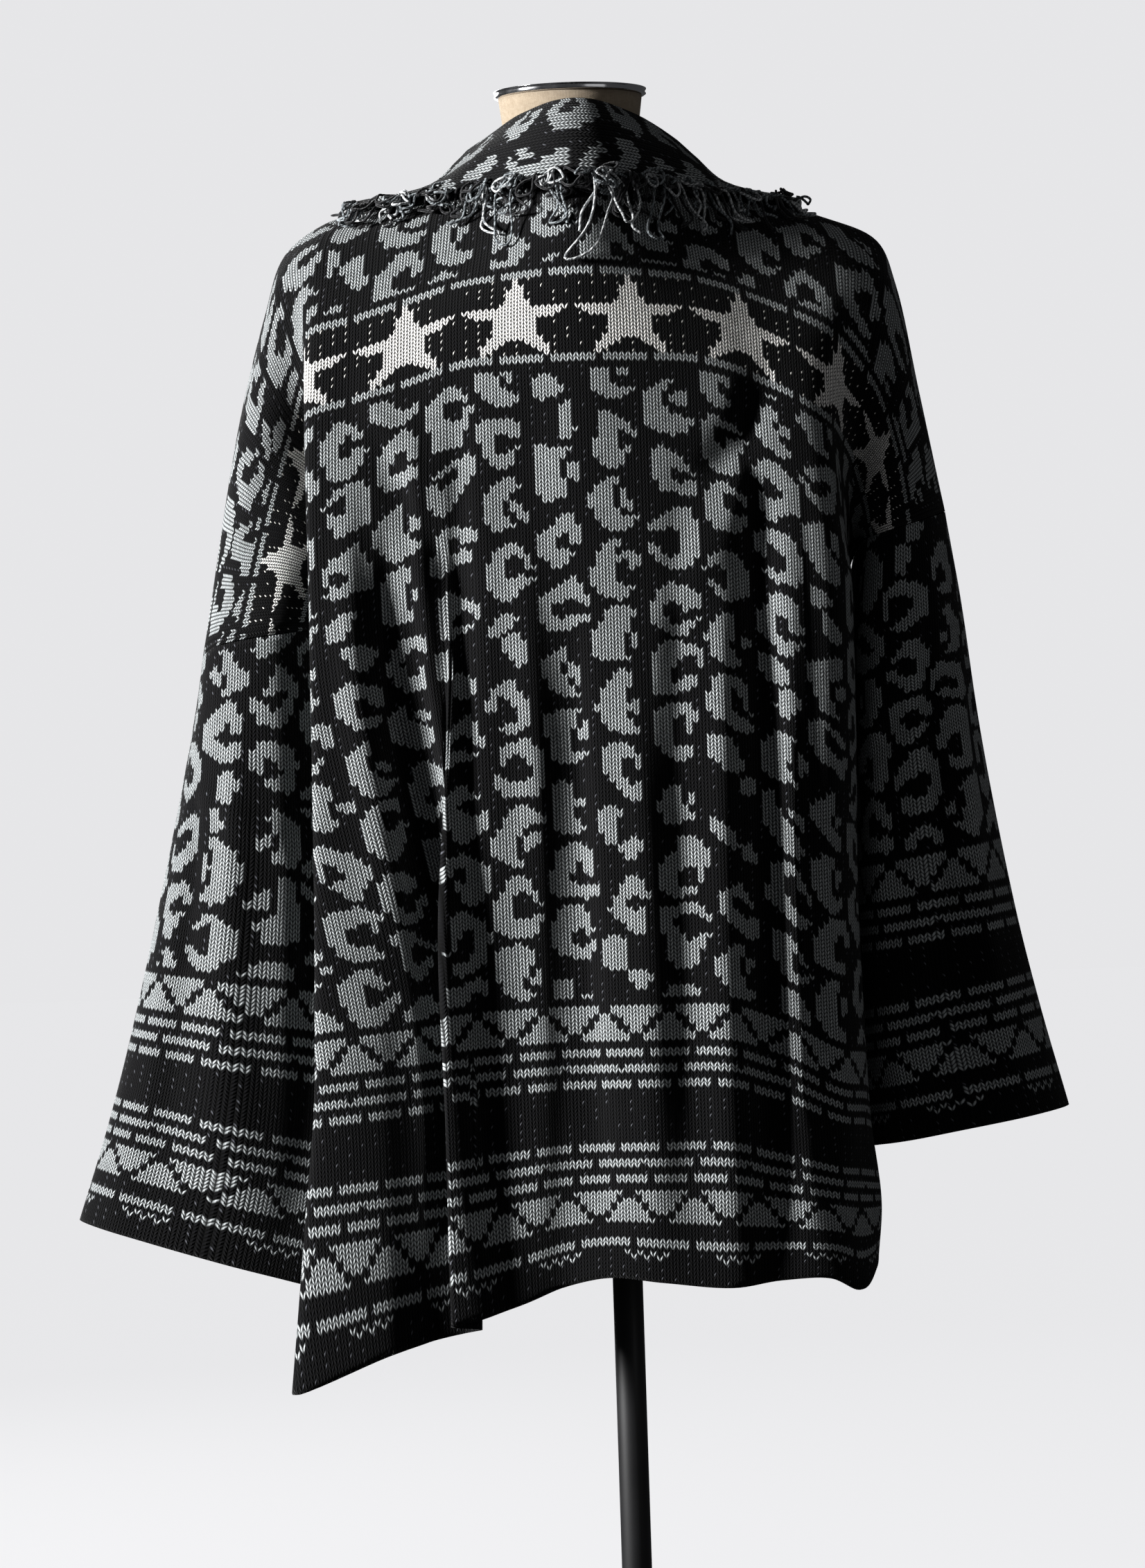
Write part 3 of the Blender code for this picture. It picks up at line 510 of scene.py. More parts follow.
class Nodes:
    """Adds and links shader nodes of one material."""

    def __init__(self, name: str) -> None:
        """Start a material with a Principled shader."""
        self.material = bpy.data.materials.new(name)
        self.material.use_nodes = True
        self.tree = self.material.node_tree
        self.shader = self.tree.nodes["Principled BSDF"]

    def add(
        self, kind: str, inputs: dict | list, output: str | int = 0, **settings: object
    ) -> bpy.types.NodeSocket:
        """Add a node and feed its inputs.

        Args:
            kind: The node's type, without its Shader Node prefix.
            inputs: A value or a socket for each input, in a list or by name or number.
            output: Which output is handed back.
            settings: The node's own settings.

        Returns:
            The output socket.
        """
        node = self.tree.nodes.new("ShaderNode" + kind)
        for key, value in settings.items():
            setattr(node, key, value)
        for key, value in inputs.items() if isinstance(inputs, dict) else enumerate(inputs):
            self.feed(node.inputs[key], value)
        return node.outputs[output]

    def feed(self, socket: bpy.types.NodeSocket, value: Socket) -> None:
        """Link a socket, or set the input's own value."""
        if isinstance(value, bpy.types.NodeSocket):
            self.tree.links.new(value, socket)
        else:
            socket.default_value = value

    def any(self, *masks: Socket) -> bpy.types.NodeSocket:
        """Where any of the masks is set."""
        out = masks[0]
        for mask in masks[1:]:
            out = self.add("Math", [out, mask], operation="MAXIMUM")
        return out

    def both(self, *masks: Socket) -> bpy.types.NodeSocket:
        """Where all of the masks are set."""
        out = masks[0]
        for mask in masks[1:]:
            out = self.add("Math", [out, mask], operation="MULTIPLY")
        return out

    def finish(self, roughness: Socket, **inputs: Socket) -> None:
        """Set the shader's own inputs; underscores in their names stand for spaces."""
        self.feed(self.shader.inputs["Roughness"], roughness)
        for key, value in inputs.items():
            self.feed(self.shader.inputs[key.replace("_", " ")], value)


@dataclass(frozen=True)
class KnitChart:
    """The jacquard chart and its stitches, worked out cell by cell from stitch counts.

    Hues are sRGB. The half sizes and the stray of a spot, the waves in its outline, the star's radius and
    the relief are in millimetres. Patches in a spot are (middle, radius, squash) with the spot's rim one
    from its middle. The rest counts wales and courses: a band is its first course and their number, a
    line of dashes its first course, its period and its shift, and a zigzag its first course, number and
    shift.
    """

    black: str = "#060608"
    grey: str = "#a0a4a5"
    white: str = "#fffcf8"
    speck: str = "#4a4b50"
    band_speck: str = "#d8d5cf"
    spot_wales: float = 8.5
    spot_courses: float = 17.0
    spot_half: tuple[float, float] = (17.8, 21.4)
    spot_stray: tuple[float, float] = (2.0, 2.4)
    spot_turn: float = 0.5
    wave_size: float = 30.0
    wave_depth: float = 9.0
    draw: float = 7.0
    hole: tuple = ((-0.2, 0.0), 0.36, 0.85)
    bite: tuple = ((-0.92, -0.12), 0.8)
    dot: tuple = ((-0.66, -0.1), 0.3)
    pair: tuple = (((0.36, -0.5), 0.52), ((-0.42, 0.44), 0.5))
    band: tuple[int, int] = (38, 29)
    band_edges: tuple = ((40, 2), (63, 2))
    star_rows: tuple[int, int] = (42, 21)
    star_waist: tuple[int, int] = (53, 5)
    star_wales: float = 18.0
    star_wale: float = 7.6
    star_course: float = 53.9
    star_radius: float = 45.5
    star_squash: float = 1.32
    border_from: float = 227.5
    dash_lines: tuple = (
        (241, 7, 0), (245, 9, 3), (249, 6, 5), (265, 7, 2), (269, 8, 6), (273, 6, 1), (289, 9, 4)
    )
    dot_lines: tuple = (245, 269, 292)
    zigzags: tuple = ((230, 9, 0.0), (277, 8, 3.0))
    relief: float = 0.9

    def cells(self, nodes: Nodes) -> tuple[Socket, ...]:
        """Find the stitch that each place belongs to.

        Args:
            nodes: The material's nodes.

        Returns:
            Wale and course of the stitch, and the place within it across and down.
        """
        add = nodes.add
        u, v, _ = add("SeparateXYZ", [add("UVMap", [], uv_map="knit")]).node.outputs
        across = add("Math", [u], operation="FRACT")
        # Both legs of a stitch rise by one course from its middle, which draws the V of stocking stitch.
        rise = add("Math", [across, 0.5], operation="PINGPONG")
        lower = add("Math", [rise, -2.0, v], operation="MULTIPLY_ADD")
        down = add("Math", [lower], operation="FRACT")
        wale = add("Math", [add("Math", [u], operation="FLOOR"), 0.5], operation="ADD")
        course = add("Math", [add("Math", [lower], operation="FLOOR"), 0.5], operation="ADD")
        return wale, course, across, down

    def rows(self, nodes: Nodes, course: Socket, first: float, count: float) -> Socket:
        """Mask of a band of courses from the first on."""
        return nodes.add("Math", [course, first + count / 2, count / 2], operation="COMPARE")

    def dashes(
        self, nodes: Nodes, wale: Socket, period: float, shift: float, gap: float = 1.0
    ) -> Socket:
        """Mask of dashes with a gap in each period of wales.

        Args:
            nodes: The material's nodes.
            wale: Wale of the stitch.
            period: Wales from dash to dash.
            shift: How many wales the first one is moved.
            gap: Wales between two dashes.

        Returns:
            The mask.
        """
        shifted = nodes.add("Math", [wale, shift], operation="ADD")
        turn = nodes.add("Math", [shifted, period], operation="FLOORED_MODULO")
        return nodes.add("Math", [turn, gap], operation="GREATER_THAN")

    def patch(
        self, nodes: Nodes, spot: Socket, middle: tuple[float, float], radius: float, squash: float = 1.0
    ) -> Socket:
        """Mask of a round patch within a spot.

        Args:
            nodes: The material's nodes.
            spot: Place in the spot, whose rim is one from its middle.
            middle: The patch's middle.
            radius: Its radius across.
            squash: Its width as a share of its height.

        Returns:
            The mask.
        """
        away = nodes.add("VectorMath", [spot, (*middle, 0.0)], operation="SUBTRACT")
        away = nodes.add("VectorMath", [away, (1.0, squash, 0.0)], operation="MULTIPLY")
        far = nodes.add("VectorMath", [away], "Value", operation="LENGTH")
        return nodes.add("Math", [far, radius], operation="LESS_THAN")

    def offset(
        self, nodes: Nodes, place: Socket, pitch: float, chance: Socket, stray: float, wave: Socket
    ) -> Socket:
        """How far a stitch is from the middle of its spot, one way.

        Args:
            nodes: The material's nodes.
            place: Place counted in spots.
            pitch: Millimetres from spot to spot.
            chance: The spot's own chance, from nought to one.
            stray: How far its middle strays, in millimetres.
            wave: Noise that bends its outline.

        Returns:
            The distance in millimetres.
        """
        within = nodes.add("Math", [place], operation="FRACT")
        out = nodes.add("Math", [within, pitch, -pitch / 2], operation="MULTIPLY_ADD")
        for share, reach in ((chance, stray), (wave, self.wave_depth)):
            moved = nodes.add("MapRange", [share, 0.0, 1.0, -reach, reach])
            out = nodes.add("Math", [out, moved], operation="ADD")
        return out

    def spot(self, nodes: Nodes, wale: Socket, course: Socket) -> tuple[Socket, Socket]:
        """Find the place within the nearest leopard spot; spots stand in staggered columns.

        Args:
            nodes: The material's nodes.
            wale: Wale of the stitch.
            course: Course of the stitch.

        Returns:
            The place, with the rim one from the middle, and the spot's chance of a kind.
        """
        add = nodes.add
        across = add("Math", [wale, self.spot_wales], operation="DIVIDE")
        column = add("Math", [across], operation="FLOOR")
        stagger = add("Math", [column, 2.0], operation="FLOORED_MODULO")
        down = add("Math", [course, self.spot_courses], operation="DIVIDE")
        down = add("Math", [stagger, 0.5, down], operation="MULTIPLY_ADD")
        cell = add("CombineXYZ", [column, add("Math", [down], operation="FLOOR"), self.draw])
        kind = add("TexWhiteNoise", [cell], "Value", noise_dimensions="3D")
        chance = add("SeparateXYZ", [kind.node.outputs["Color"]]).node.outputs
        cloth = add("CombineXYZ", [wale, course])
        steps = (WALE / self.wave_size, COURSE / self.wave_size, 0.0)
        cloth = add("VectorMath", [cloth, steps], operation="MULTIPLY")
        noise = {"Vector": cloth, "Scale": 1.0, "Detail": 0.0}
        wave = add("TexNoise", noise, "Color", noise_dimensions="2D")
        wave = add("SeparateXYZ", [wave]).node.outputs
        pitch = (self.spot_wales * WALE, self.spot_courses * COURSE)
        x = self.offset(nodes, across, pitch[0], chance[0], self.spot_stray[0], wave[0])
        y = self.offset(nodes, down, pitch[1], chance[1], self.spot_stray[1], wave[1])
        angle = add("MapRange", [chance[2], 0.0, 1.0, -self.spot_turn, self.spot_turn])
        turned = {"Vector": add("CombineXYZ", [x, y]), "Angle": angle}
        turned = add("VectorRotate", turned, rotation_type="Z_AXIS")
        # One spot in seven opens the other way, and no two are quite the same size.
        mirrored = add("Math", [kind, 0.86], operation="GREATER_THAN")
        way = add("MapRange", [mirrored, 0.0, 1.0, 1.0, -1.0])
        size = add("MapRange", [chance[1], 0.0, 1.0, 0.92, 1.08])
        scale = (1.0 / self.spot_half[0], 1.0 / self.spot_half[1], 0.0)
        place = add("VectorMath", [turned, scale], operation="MULTIPLY")
        place = add("VectorMath", [place, add("CombineXYZ", [way, 1.0])], operation="MULTIPLY")
        return add("VectorMath", [place, add("CombineXYZ", [size, size, 1.0])], operation="DIVIDE"), kind

    def leopard(self, nodes: Nodes, wale: Socket, course: Socket) -> Socket:
        """Mask of the leopard ground: open rings, beans with a dot, and pairs of small spots."""
        add = nodes.add
        spot, kind = self.spot(nodes, wale, course)
        x, y, _ = add("SeparateXYZ", [spot]).node.outputs
        disk = self.patch(nodes, spot, (0.0, 0.0), 1.0)
        hole = self.patch(nodes, spot, *self.hole)
        level = add("Math", [x, 0.15, y], operation="MULTIPLY_ADD")
        mouth = nodes.both(
            add("Math", [x, -0.2], operation="LESS_THAN"),
            add("Math", [level, 0.0, 0.17], operation="COMPARE"),
        )
        cut = nodes.any(hole, mouth)
        ring = nodes.both(disk, add("Math", [1.0, cut], operation="SUBTRACT"))
        bite = self.patch(nodes, spot, *self.bite)
        bean = nodes.both(disk, add("Math", [1.0, bite], operation="SUBTRACT"))
        bean = nodes.any(bean, self.patch(nodes, spot, *self.dot))
        pair = nodes.any(*(self.patch(nodes, spot, *small) for small in self.pair))
        # Of 100 spots 12 are pairs, 26 are beans and the others are rings.
        is_pair = add("Math", [kind, 0.06, 0.06], operation="COMPARE")
        is_bean = add("Math", [kind, 0.25, 0.13], operation="COMPARE")
        out = add("Mix", {0: is_bean, 6: ring, 7: bean}, 2, data_type="RGBA")
        return add("Mix", {0: is_pair, 6: out, 7: pair}, 2, data_type="RGBA")

    def star(self, nodes: Nodes, wale: Socket, course: Socket) -> Socket:
        """Mask of a row of plain five-point stars.

        A place is in a star where it is inside four of the five lines through its points.

        Args:
            nodes: The material's nodes.
            wale: Wale of the stitch.
            course: Course of the stitch.

        Returns:
            The mask.
        """
        add = nodes.add
        turn = add("Math", [wale, self.star_wale + self.star_wales / 2], operation="ADD")
        turn = add("Math", [turn, self.star_wales], operation="FLOORED_MODULO")
        x = add("Math", [turn, WALE, -self.star_wales / 2 * WALE], operation="MULTIPLY_ADD")
        rise = add("Math", [self.star_course, course], operation="SUBTRACT")
        y = add("Math", [rise, COURSE * self.star_squash], operation="MULTIPLY")
        count: Socket = 0.0
        for k in range(5):
            angle = math.radians(90 + 72 * k)
            up = add("Math", [y, math.sin(angle)], operation="MULTIPLY")
            far = add("Math", [x, math.cos(angle), up], operation="MULTIPLY_ADD")
            # The lines over the arms lie further out, since whole stitches would eat the arms away.
            steep = 1.8 if k in (1, 4) else 0.0
            line = self.star_radius * math.cos(math.radians(72)) + steep
            side = add("Math", [far, line], operation="LESS_THAN")
            count = add("Math", [count, side], operation="ADD")
        off = add("Math", [x], operation="ABSOLUTE")
        under_arm = nodes.both(
            add("Math", [off, 16.5], operation="GREATER_THAN"), self.rows(nodes, course, *self.star_waist)
        )
        return nodes.both(
            add("Math", [count, 3.5], operation="GREATER_THAN"),
            self.rows(nodes, course, *self.star_rows),
            add("Math", [1.0, under_arm], operation="SUBTRACT"),
        )

    def border(self, nodes: Nodes, wale: Socket, course: Socket) -> tuple[Socket, Socket]:
        """Masks of the border's grey stitches and of the courses that it takes.

        Args:
            nodes: The material's nodes.
            wale: Wale of the stitch.
            course: Course of the stitch.

        Returns:
            Both masks.
        """
        add = nodes.add
        marks = []
        for first, period, shift in self.dash_lines:
            dash = self.dashes(nodes, wale, period, shift)
            marks.append(nodes.both(self.rows(nodes, course, first, 2), dash))
        dots = add("Math", [wale, course], operation="ADD")
        dots = add("Math", [dots, 2.0], operation="FLOORED_MODULO")
        dots = add("Math", [dots, 0.9], operation="LESS_THAN")
        groups = self.dashes(nodes, wale, 14.0, 2.0, 7.0)
        for first in self.dot_lines:
            marks.append(nodes.both(self.rows(nodes, course, first, 2), dots, groups))
        for first, count, shift in self.zigzags:
            climb = add("Math", [wale, shift], operation="ADD")
            climb = add("Math", [climb, 5.0], operation="PINGPONG")
            zigzag = add("Math", [climb, count / 5.0, first], operation="MULTIPLY_ADD")
            away = add("Math", [course, zigzag], operation="SUBTRACT")
            away = add("Math", [away], operation="ABSOLUTE")
            fill = add("Math", [away, 1.05], operation="GREATER_THAN")
            marks.append(nodes.both(self.rows(nodes, course, first, count), fill))
        return nodes.any(*marks), add("Math", [course, self.border_from], operation="GREATER_THAN")

    def specks(
        self, nodes: Nodes, wale: Socket, course: Socket, across: Socket, down: Socket
    ) -> Socket:
        """Mask of the grey floats that peep through the black ground, on half of each second stitch."""
        add = nodes.add
        lot = add("TexWhiteNoise", [add("CombineXYZ", [wale, course])], "Value", noise_dimensions="2D")
        masks = [add("Math", [lot, 0.5], operation="LESS_THAN")]
        for count in (wale, course):
            second = add("Math", [count, 2.0], operation="FLOORED_MODULO")
            masks.append(add("Math", [second, 1.0], operation="LESS_THAN"))
        masks.append(add("Math", [across, 0.34], operation="LESS_THAN"))
        masks.append(add("Math", [down, 0.5, 0.28], operation="COMPARE"))
        return nodes.both(*masks)

    def height(self, nodes: Nodes, across: Socket, down: Socket) -> Socket:
        """Relief of one stitch: two round legs of yarn with a groove at each side."""
        out: Socket = 1.0
        for place, count, power in ((across, 2.0, 0.7), (down, 1.0, 0.6)):
            leg = nodes.add("Math", [place, count], operation="MULTIPLY")
            leg = nodes.add("Math", [leg, 0.5], operation="PINGPONG")
            leg = nodes.add("Math", [leg, 2.0], operation="MULTIPLY")
            leg = nodes.add("Math", [leg, power], operation="POWER")
            out = nodes.add("Math", [out, leg], operation="MULTIPLY")
        return out

    def material(self, name: str, starred: bool = True, bordered: bool = True) -> bpy.types.Material:
        """Make the knit's material.

        Args:
            name: Name of the material.
            starred: Whether the row of stars is on it.
            bordered: Whether the border is on it.

        Returns:
            The material.
        """
        # Two-colour jacquard in a woolly yarn of 4.85 by 2.9 mm a stitch. It is matt and its tone wanders a
        # little from stitch to stitch. Painted shade darkens the groove round each stitch's V and lightens
        # the V itself, on top of the bump.
        nodes = Nodes(name)
        add = nodes.add
        wale, course, across, down = self.cells(nodes)
        grey = self.leopard(nodes, wale, course)
        specks = self.specks(nodes, wale, course, across, down)
        if starred:
            band = self.rows(nodes, course, *self.band)
            edges = nodes.any(*(self.rows(nodes, course, *edge) for edge in self.band_edges))
            dashed = nodes.both(edges, self.dashes(nodes, wale, 8.0, 3.0))
            grey = add("Mix", {0: band, 6: grey, 7: dashed}, 2, data_type="RGBA")
        if bordered:
            marks, taken = self.border(nodes, wale, course)
            grey = add("Mix", {0: taken, 6: grey, 7: marks}, 2, data_type="RGBA")
        layers = [(specks, self.speck), (grey, self.grey)]
        if starred:
            layers.append((nodes.both(specks, self.rows(nodes, course, *self.star_rows)), self.band_speck))
            layers.append((self.star(nodes, wale, course), self.white))
        colour: Socket = linear(self.black)
        for mask, hue in layers:
            colour = add("Mix", {0: mask, 6: colour, 7: linear(hue)}, 2, data_type="RGBA")
        stitch = add("CombineXYZ", [wale, course])
        lot = add("TexWhiteNoise", [stitch], "Value", noise_dimensions="2D")
        fibre = add("VectorMath", [stitch, add("CombineXYZ", [across, down])], operation="ADD")
        marl = {"Vector": fibre, "Scale": 3.1, "Detail": 2.0}
        marl = add("TexNoise", marl, "Fac", noise_dimensions="2D")
        height = self.height(nodes, across, down)
        # Painted shade: the stitch's relief darkens its grooves and lightens its V in the colour, here mixed
        # with real random tone per stitch and marl.
        groove_shade_and_marl = add("MapRange", [height, 0.12, 0.72, 0.05, 1.25])
        for share in (
            add("MapRange", [lot, 0.0, 1.0, 0.86, 1.1]), add("MapRange", [marl, 0.3, 0.7, 0.78, 1.12])
        ):
            groove_shade_and_marl = add("Math", [groove_shade_and_marl, share], operation="MULTIPLY")
        groove_shade_and_marl_grey = add("CombineColor", [groove_shade_and_marl, groove_shade_and_marl, groove_shade_and_marl])
        multiply = {0: 1.0, 6: colour, 7: groove_shade_and_marl_grey}
        colour = add("Mix", multiply, 2, data_type="RGBA", blend_type="MULTIPLY")
        bump = {"Strength": 1.0, "Distance": self.relief * MM, "Height": height}
        nodes.finish(
            0.95,
            Base_Color=colour,
            Normal=add("Bump", bump, "Normal"),
            Specular_IOR_Level=0.1,
            Sheen_Weight=0.04,
            Sheen_Roughness=0.5,
        )
        return nodes.material


@dataclass
class Cardigan:
    """The knitted panels: back, two fronts and two sleeves.

    A sleeve's row is the share of the way to the cuff, (sideways, up) of its outer and of its inner edge,
    and half its depth. Half a girth is the cloth from the middle to a side seam.
    """

    drape: Drape
    parts_across: int = 8
    row_step: float = 5.0
    half_girth: dict[Side, float] = field(default_factory=lambda: {Side.LEFT: 460.0, Side.RIGHT: 375.0})
    sleeve_rows: dict[Side, tuple] = field(
        default_factory=lambda: {
            Side.LEFT: (
                (0.00, (307, 1073), (211, 1086), 84),
                (0.12, (316, 1026), (208, 1030), 78),
                (0.38, (341, 913), (203, 902), 66),
                (0.66, (372, 788), (203, 756), 56),
                (0.84, (393, 716), (208, 664), 50),
                (1.00, (416, 648), (222, 588), 45),
            ),
            Side.RIGHT: (
                (0.00, (260, 1168), (196, 1142), 84),
                (0.14, (270, 1100), (184, 1080), 80),
                (0.38, (280, 1010), (177, 980), 68),
                (0.66, (303, 868), (176, 850), 60),
                (0.84, (320, 790), (178, 760), 56),
                (1.00, (340, 712), (187, 686), 54),
            ),
        }
    )
    sleeve_length: dict[Side, float] = field(default_factory=lambda: {Side.LEFT: 448.0, Side.RIGHT: 462.0})
    sleeve_squareness: float = 0.82
    sleeve_round: float = 96.0
    sleeve_rings: int = 91
    sleeve_shift: float = 300.0
    back_creases: tuple = (
        Crease((38.0, 96.0), (41.0, 298.0), 14.0, 9.0),
        Crease((32.0, 112.0), (33.0, 290.0), 11.0, -9.0, 3.0),
        Crease((27.0, 82.0), (26.5, 236.0), 10.0, 6.5, -4.0),
        Crease((20.0, 80.0), (18.5, 300.0), 15.0, -10.0, 5.0),
        Crease((10.0, 112.0), (11.5, 300.0), 15.0, 7.0, -5.0),
        Crease((3.0, 128.0), (1.0, 300.0), 14.0, -6.5, 5.0),
        Crease((-6.0, 150.0), (-7.0, 300.0), 13.0, 5.0, -4.0),
        Crease((-14.0, 104.0), (-12.5, 280.0), 12.0, -5.0, 5.0),
        Crease((-20.0, 128.0), (-19.0, 300.0), 11.0, 7.0, 3.0),
        Crease((-26.0, 74.0), (-25.0, 296.0), 12.0, -9.0, -3.0),
        Crease((-32.0, 92.0), (-30.5, 290.0), 9.0, 6.0, 3.0),
        Crease((36.0, 58.0), (22.0, 96.0), 12.0, 4.0, 8.0),
        Crease((33.0, 76.0), (19.0, 124.0), 11.0, -3.5, 8.0),
        Crease((-31.0, 56.0), (-17.0, 98.0), 11.0, -4.5, -7.0),
        Crease((-28.0, 78.0), (-12.0, 132.0), 12.0, 3.0, -7.0),
        Crease((6.0, 66.0), (10.0, 116.0), 22.0, -3.0, 5.0),
    )
    sleeve_creases: tuple = (
        Crease((12.0, 176.0), (17.0, 296.0), 13.0, 4.0, 4.0),
        Crease((21.0, 160.0), (25.0, 292.0), 11.0, -5.0, -5.0),
        Crease((30.0, 172.0), (32.0, 298.0), 13.0, 4.0, 5.0),
        Crease((39.0, 190.0), (40.0, 298.0), 11.0, -5.0, 3.0),
        Crease((10.0, 182.0), (34.0, 206.0), 9.0, -2.5, 6.0),
        Crease((14.0, 222.0), (38.0, 240.0), 10.0, 2.0, -6.0),
        Crease((62.0, 165.0), (66.0, 296.0), 13.0, -4.0, 5.0),
        Crease((74.0, 175.0), (78.0, 298.0), 14.0, 4.0, -4.0),
    )
    front_creases: tuple = (
        Crease((22.0, 80.0), (20.0, 298.0), 14.0, 5.0, 4.0),
        Crease((31.0, 110.0), (30.0, 298.0), 13.0, -5.0, -4.0),
        Crease((40.0, 120.0), (42.0, 290.0), 13.0, 4.0, 4.0),
    )
    neck: list[int] = field(default_factory=list, init=False)

    def downs(self) -> np.ndarray:
        """Distances down of the rows, with one at the armhole's end."""
        upper = np.arange(0.0, ARMHOLE, self.row_step)
        steps = int(round((BODY_LENGTH - ARMHOLE) / self.row_step))
        return np.concatenate((upper, np.linspace(ARMHOLE, BODY_LENGTH, steps + 1)))

    def stitch_run(self, row: np.ndarray, edge: int, start: float, seam: float) -> np.ndarray:
        """Count wales along a row whose first point is the middle or the open edge.

        Args:
            row: Points from the start to the seam.
            edge: Index of the side fold's edge.
            start: Wale place of the first point, in millimetres.
            seam: Wale place of the seam, in millimetres.

        Returns:
            Millimetres of cloth up to each point.
        """
        run = start + run_length(row)
        rest = (run[edge:] - run[edge]) / max(run[-1] - run[edge], 1e-9)
        run[edge:] = run[edge] + rest * (seam - run[edge])
        return run

    def back(self) -> ClothGrid:
        """Lay out the back."""
        downs = self.downs()
        parts = self.parts_across
        plain = np.array([rounded(self.drape.back_row(down), parts) for down in downs])
        grid = plain.copy()
        courses = np.repeat(downs[:, None], plain.shape[1], axis=1)
        for j in range(5 * parts, plain.shape[1] - 5 * parts):
            start = self.drape.scoop(plain[0, j, 0])
            if start > 0:
                moved = start + downs * (1 - start / BODY_LENGTH)
                courses[:, j] = moved
                for k in range(3):
                    grid[:, j, k] = np.interp(moved, downs, plain[:, j, k])
        self.neck = [j for j in range(grid.shape[1]) if self.drape.scoop(grid[0, j, 0]) > 0]
        wales = np.zeros(grid.shape[:2])
        for i in range(len(downs)):
            middle = int(np.argmin(np.abs(plain[i, 5 * parts : -5 * parts, 0] - MIDDLE_X))) + 5 * parts
            off = plain[i, middle, 0] - MIDDLE_X
            seams = self.half_girth
            edge = plain.shape[1] - 4 * parts - 1 - middle
            left = self.stitch_run(plain[i, middle:], edge, off, seams[Side.LEFT])
            right = self.stitch_run(plain[i, middle::-1], middle - 4 * parts, -off, seams[Side.RIGHT])
            wales[i, middle:] = left
            wales[i, : middle + 1] = -right[::-1]
        points = grid * MM
        normals = grid_normals(points)
        self.set_seams(points, normals, 1, (0, points.shape[1] - 1), self.neck)
        panel = ClothGrid(points, normals, wales / WALE, courses / COURSE)
        panel.press(self.back_creases, np.clip((downs - 130.0) / 90.0, 0.0, 1.0)[:, None])
        return panel

    def front(self, side: Side) -> ClothGrid:
        """Lay out one front."""
        downs = self.downs()
        parts = self.parts_across
        grid = np.array([rounded(self.drape.front_row(side, down), parts) for down in downs])
        grid[:, :, 1] *= -FRONT_DEPTH_SHARE
        wales = np.zeros(grid.shape[:2])
        for i, row in enumerate(grid):
            start = abs(row[0, 0] - MIDDLE_X)
            wales[i] = self.stitch_run(row, 5 * parts, start, self.half_girth[side])
        points = grid * MM
        normals = grid_normals(points)
        self.set_seams(points, normals, -1, (points.shape[1] - 1,), ())
        courses = np.repeat(downs[:, None], grid.shape[1], axis=1)
        panel = ClothGrid(points, normals, wales / WALE, courses / COURSE)
        away = np.clip(np.arange(grid.shape[1]) / (3.0 * parts), 0.0, 1.0)[None, :]
        panel.press(self.front_creases, np.clip((downs - 200.0) / 120.0, 0.0, 1.0)[:, None] * away)
        panel.wales = side.value * panel.wales
        return panel

    def set_seams(
        self, points: np.ndarray, normals: np.ndarray, face: int, sides: Sequence[int], neck: Sequence[int]
    ) -> None:
        """Set the shoulder and side seams half a gap from the plane between back and front.

        Args:
            points: The panel's points, changed in place.
            normals: Its normals, changed in place.
            face: One for the back, minus one for a front.
            sides: Columns of its side seams.
            neck: Columns that end at the neckline.
        """
        hole = int(np.searchsorted(self.downs(), ARMHOLE))
        top = [j for j in range(points.shape[1]) if j not in neck]
        points[0, top, 1] = face * HALF_SEAM
        normals[0, top, 1] = 0.0
        for j in sides:
            points[hole:, j, 1] = face * HALF_SEAM
            normals[hole:, j, 1] = 0.0
        normals /= np.maximum(np.linalg.norm(normals, axis=2, keepdims=True), 1e-12)

    def armhole(self, side: Side, back: ClothGrid, front: ClothGrid) -> tuple[np.ndarray, ...]:
        """Follow an armhole's edge all round.

        Args:
            side: Which armhole.
            back: The back.
            front: The front of that side.

        Returns:
            Points, normals and directions out of the panels.
        """
        at, near = (-1, -2) if side is Side.LEFT else (0, 1)
        hole = int(np.searchsorted(self.downs(), ARMHOLE))
        down = slice(0, hole + 1)
        up = slice(hole - 1, 0, -1)
        points = np.vstack((back.points[down, at], front.points[up, -1]))
        normals = np.vstack((back.normals[down, at], front.normals[up, -1]))
        ways = np.vstack(
            (
                back.points[down, at] - back.points[down, near],
                front.points[up, -1] - front.points[up, -2],
            )
        )
        for i in (0, hole):
            points[i, 1] = 0.0
            normals[i, 1] = 0.0
        ways[0, 1] = 0.0
        return points, unit(normals), unit(ways)

    def sleeve_point(self, side: Side, share: float, angle: float) -> np.ndarray:
        """A point of the plain sleeve at a share of the way down and an angle from its outer edge."""
        outer_x, outer_z, inner_x, inner_z, depth = row_at(self.sleeve_rows[side], share)
        c, s = math.cos(angle), math.sin(angle)
        wide = math.copysign(abs(c) ** self.sleeve_squareness, c)
        deep = math.copysign(abs(s) ** self.sleeve_squareness, s) * (FRONT_DEPTH_SHARE if s < 0 else 1.0)
        x = (outer_x + inner_x) / 2 + wide * (outer_x - inner_x) / 2
        z = (outer_z + inner_z) / 2 + wide * (outer_z - inner_z) / 2
        return np.array((side.value * x, depth * deep, z)) * MM

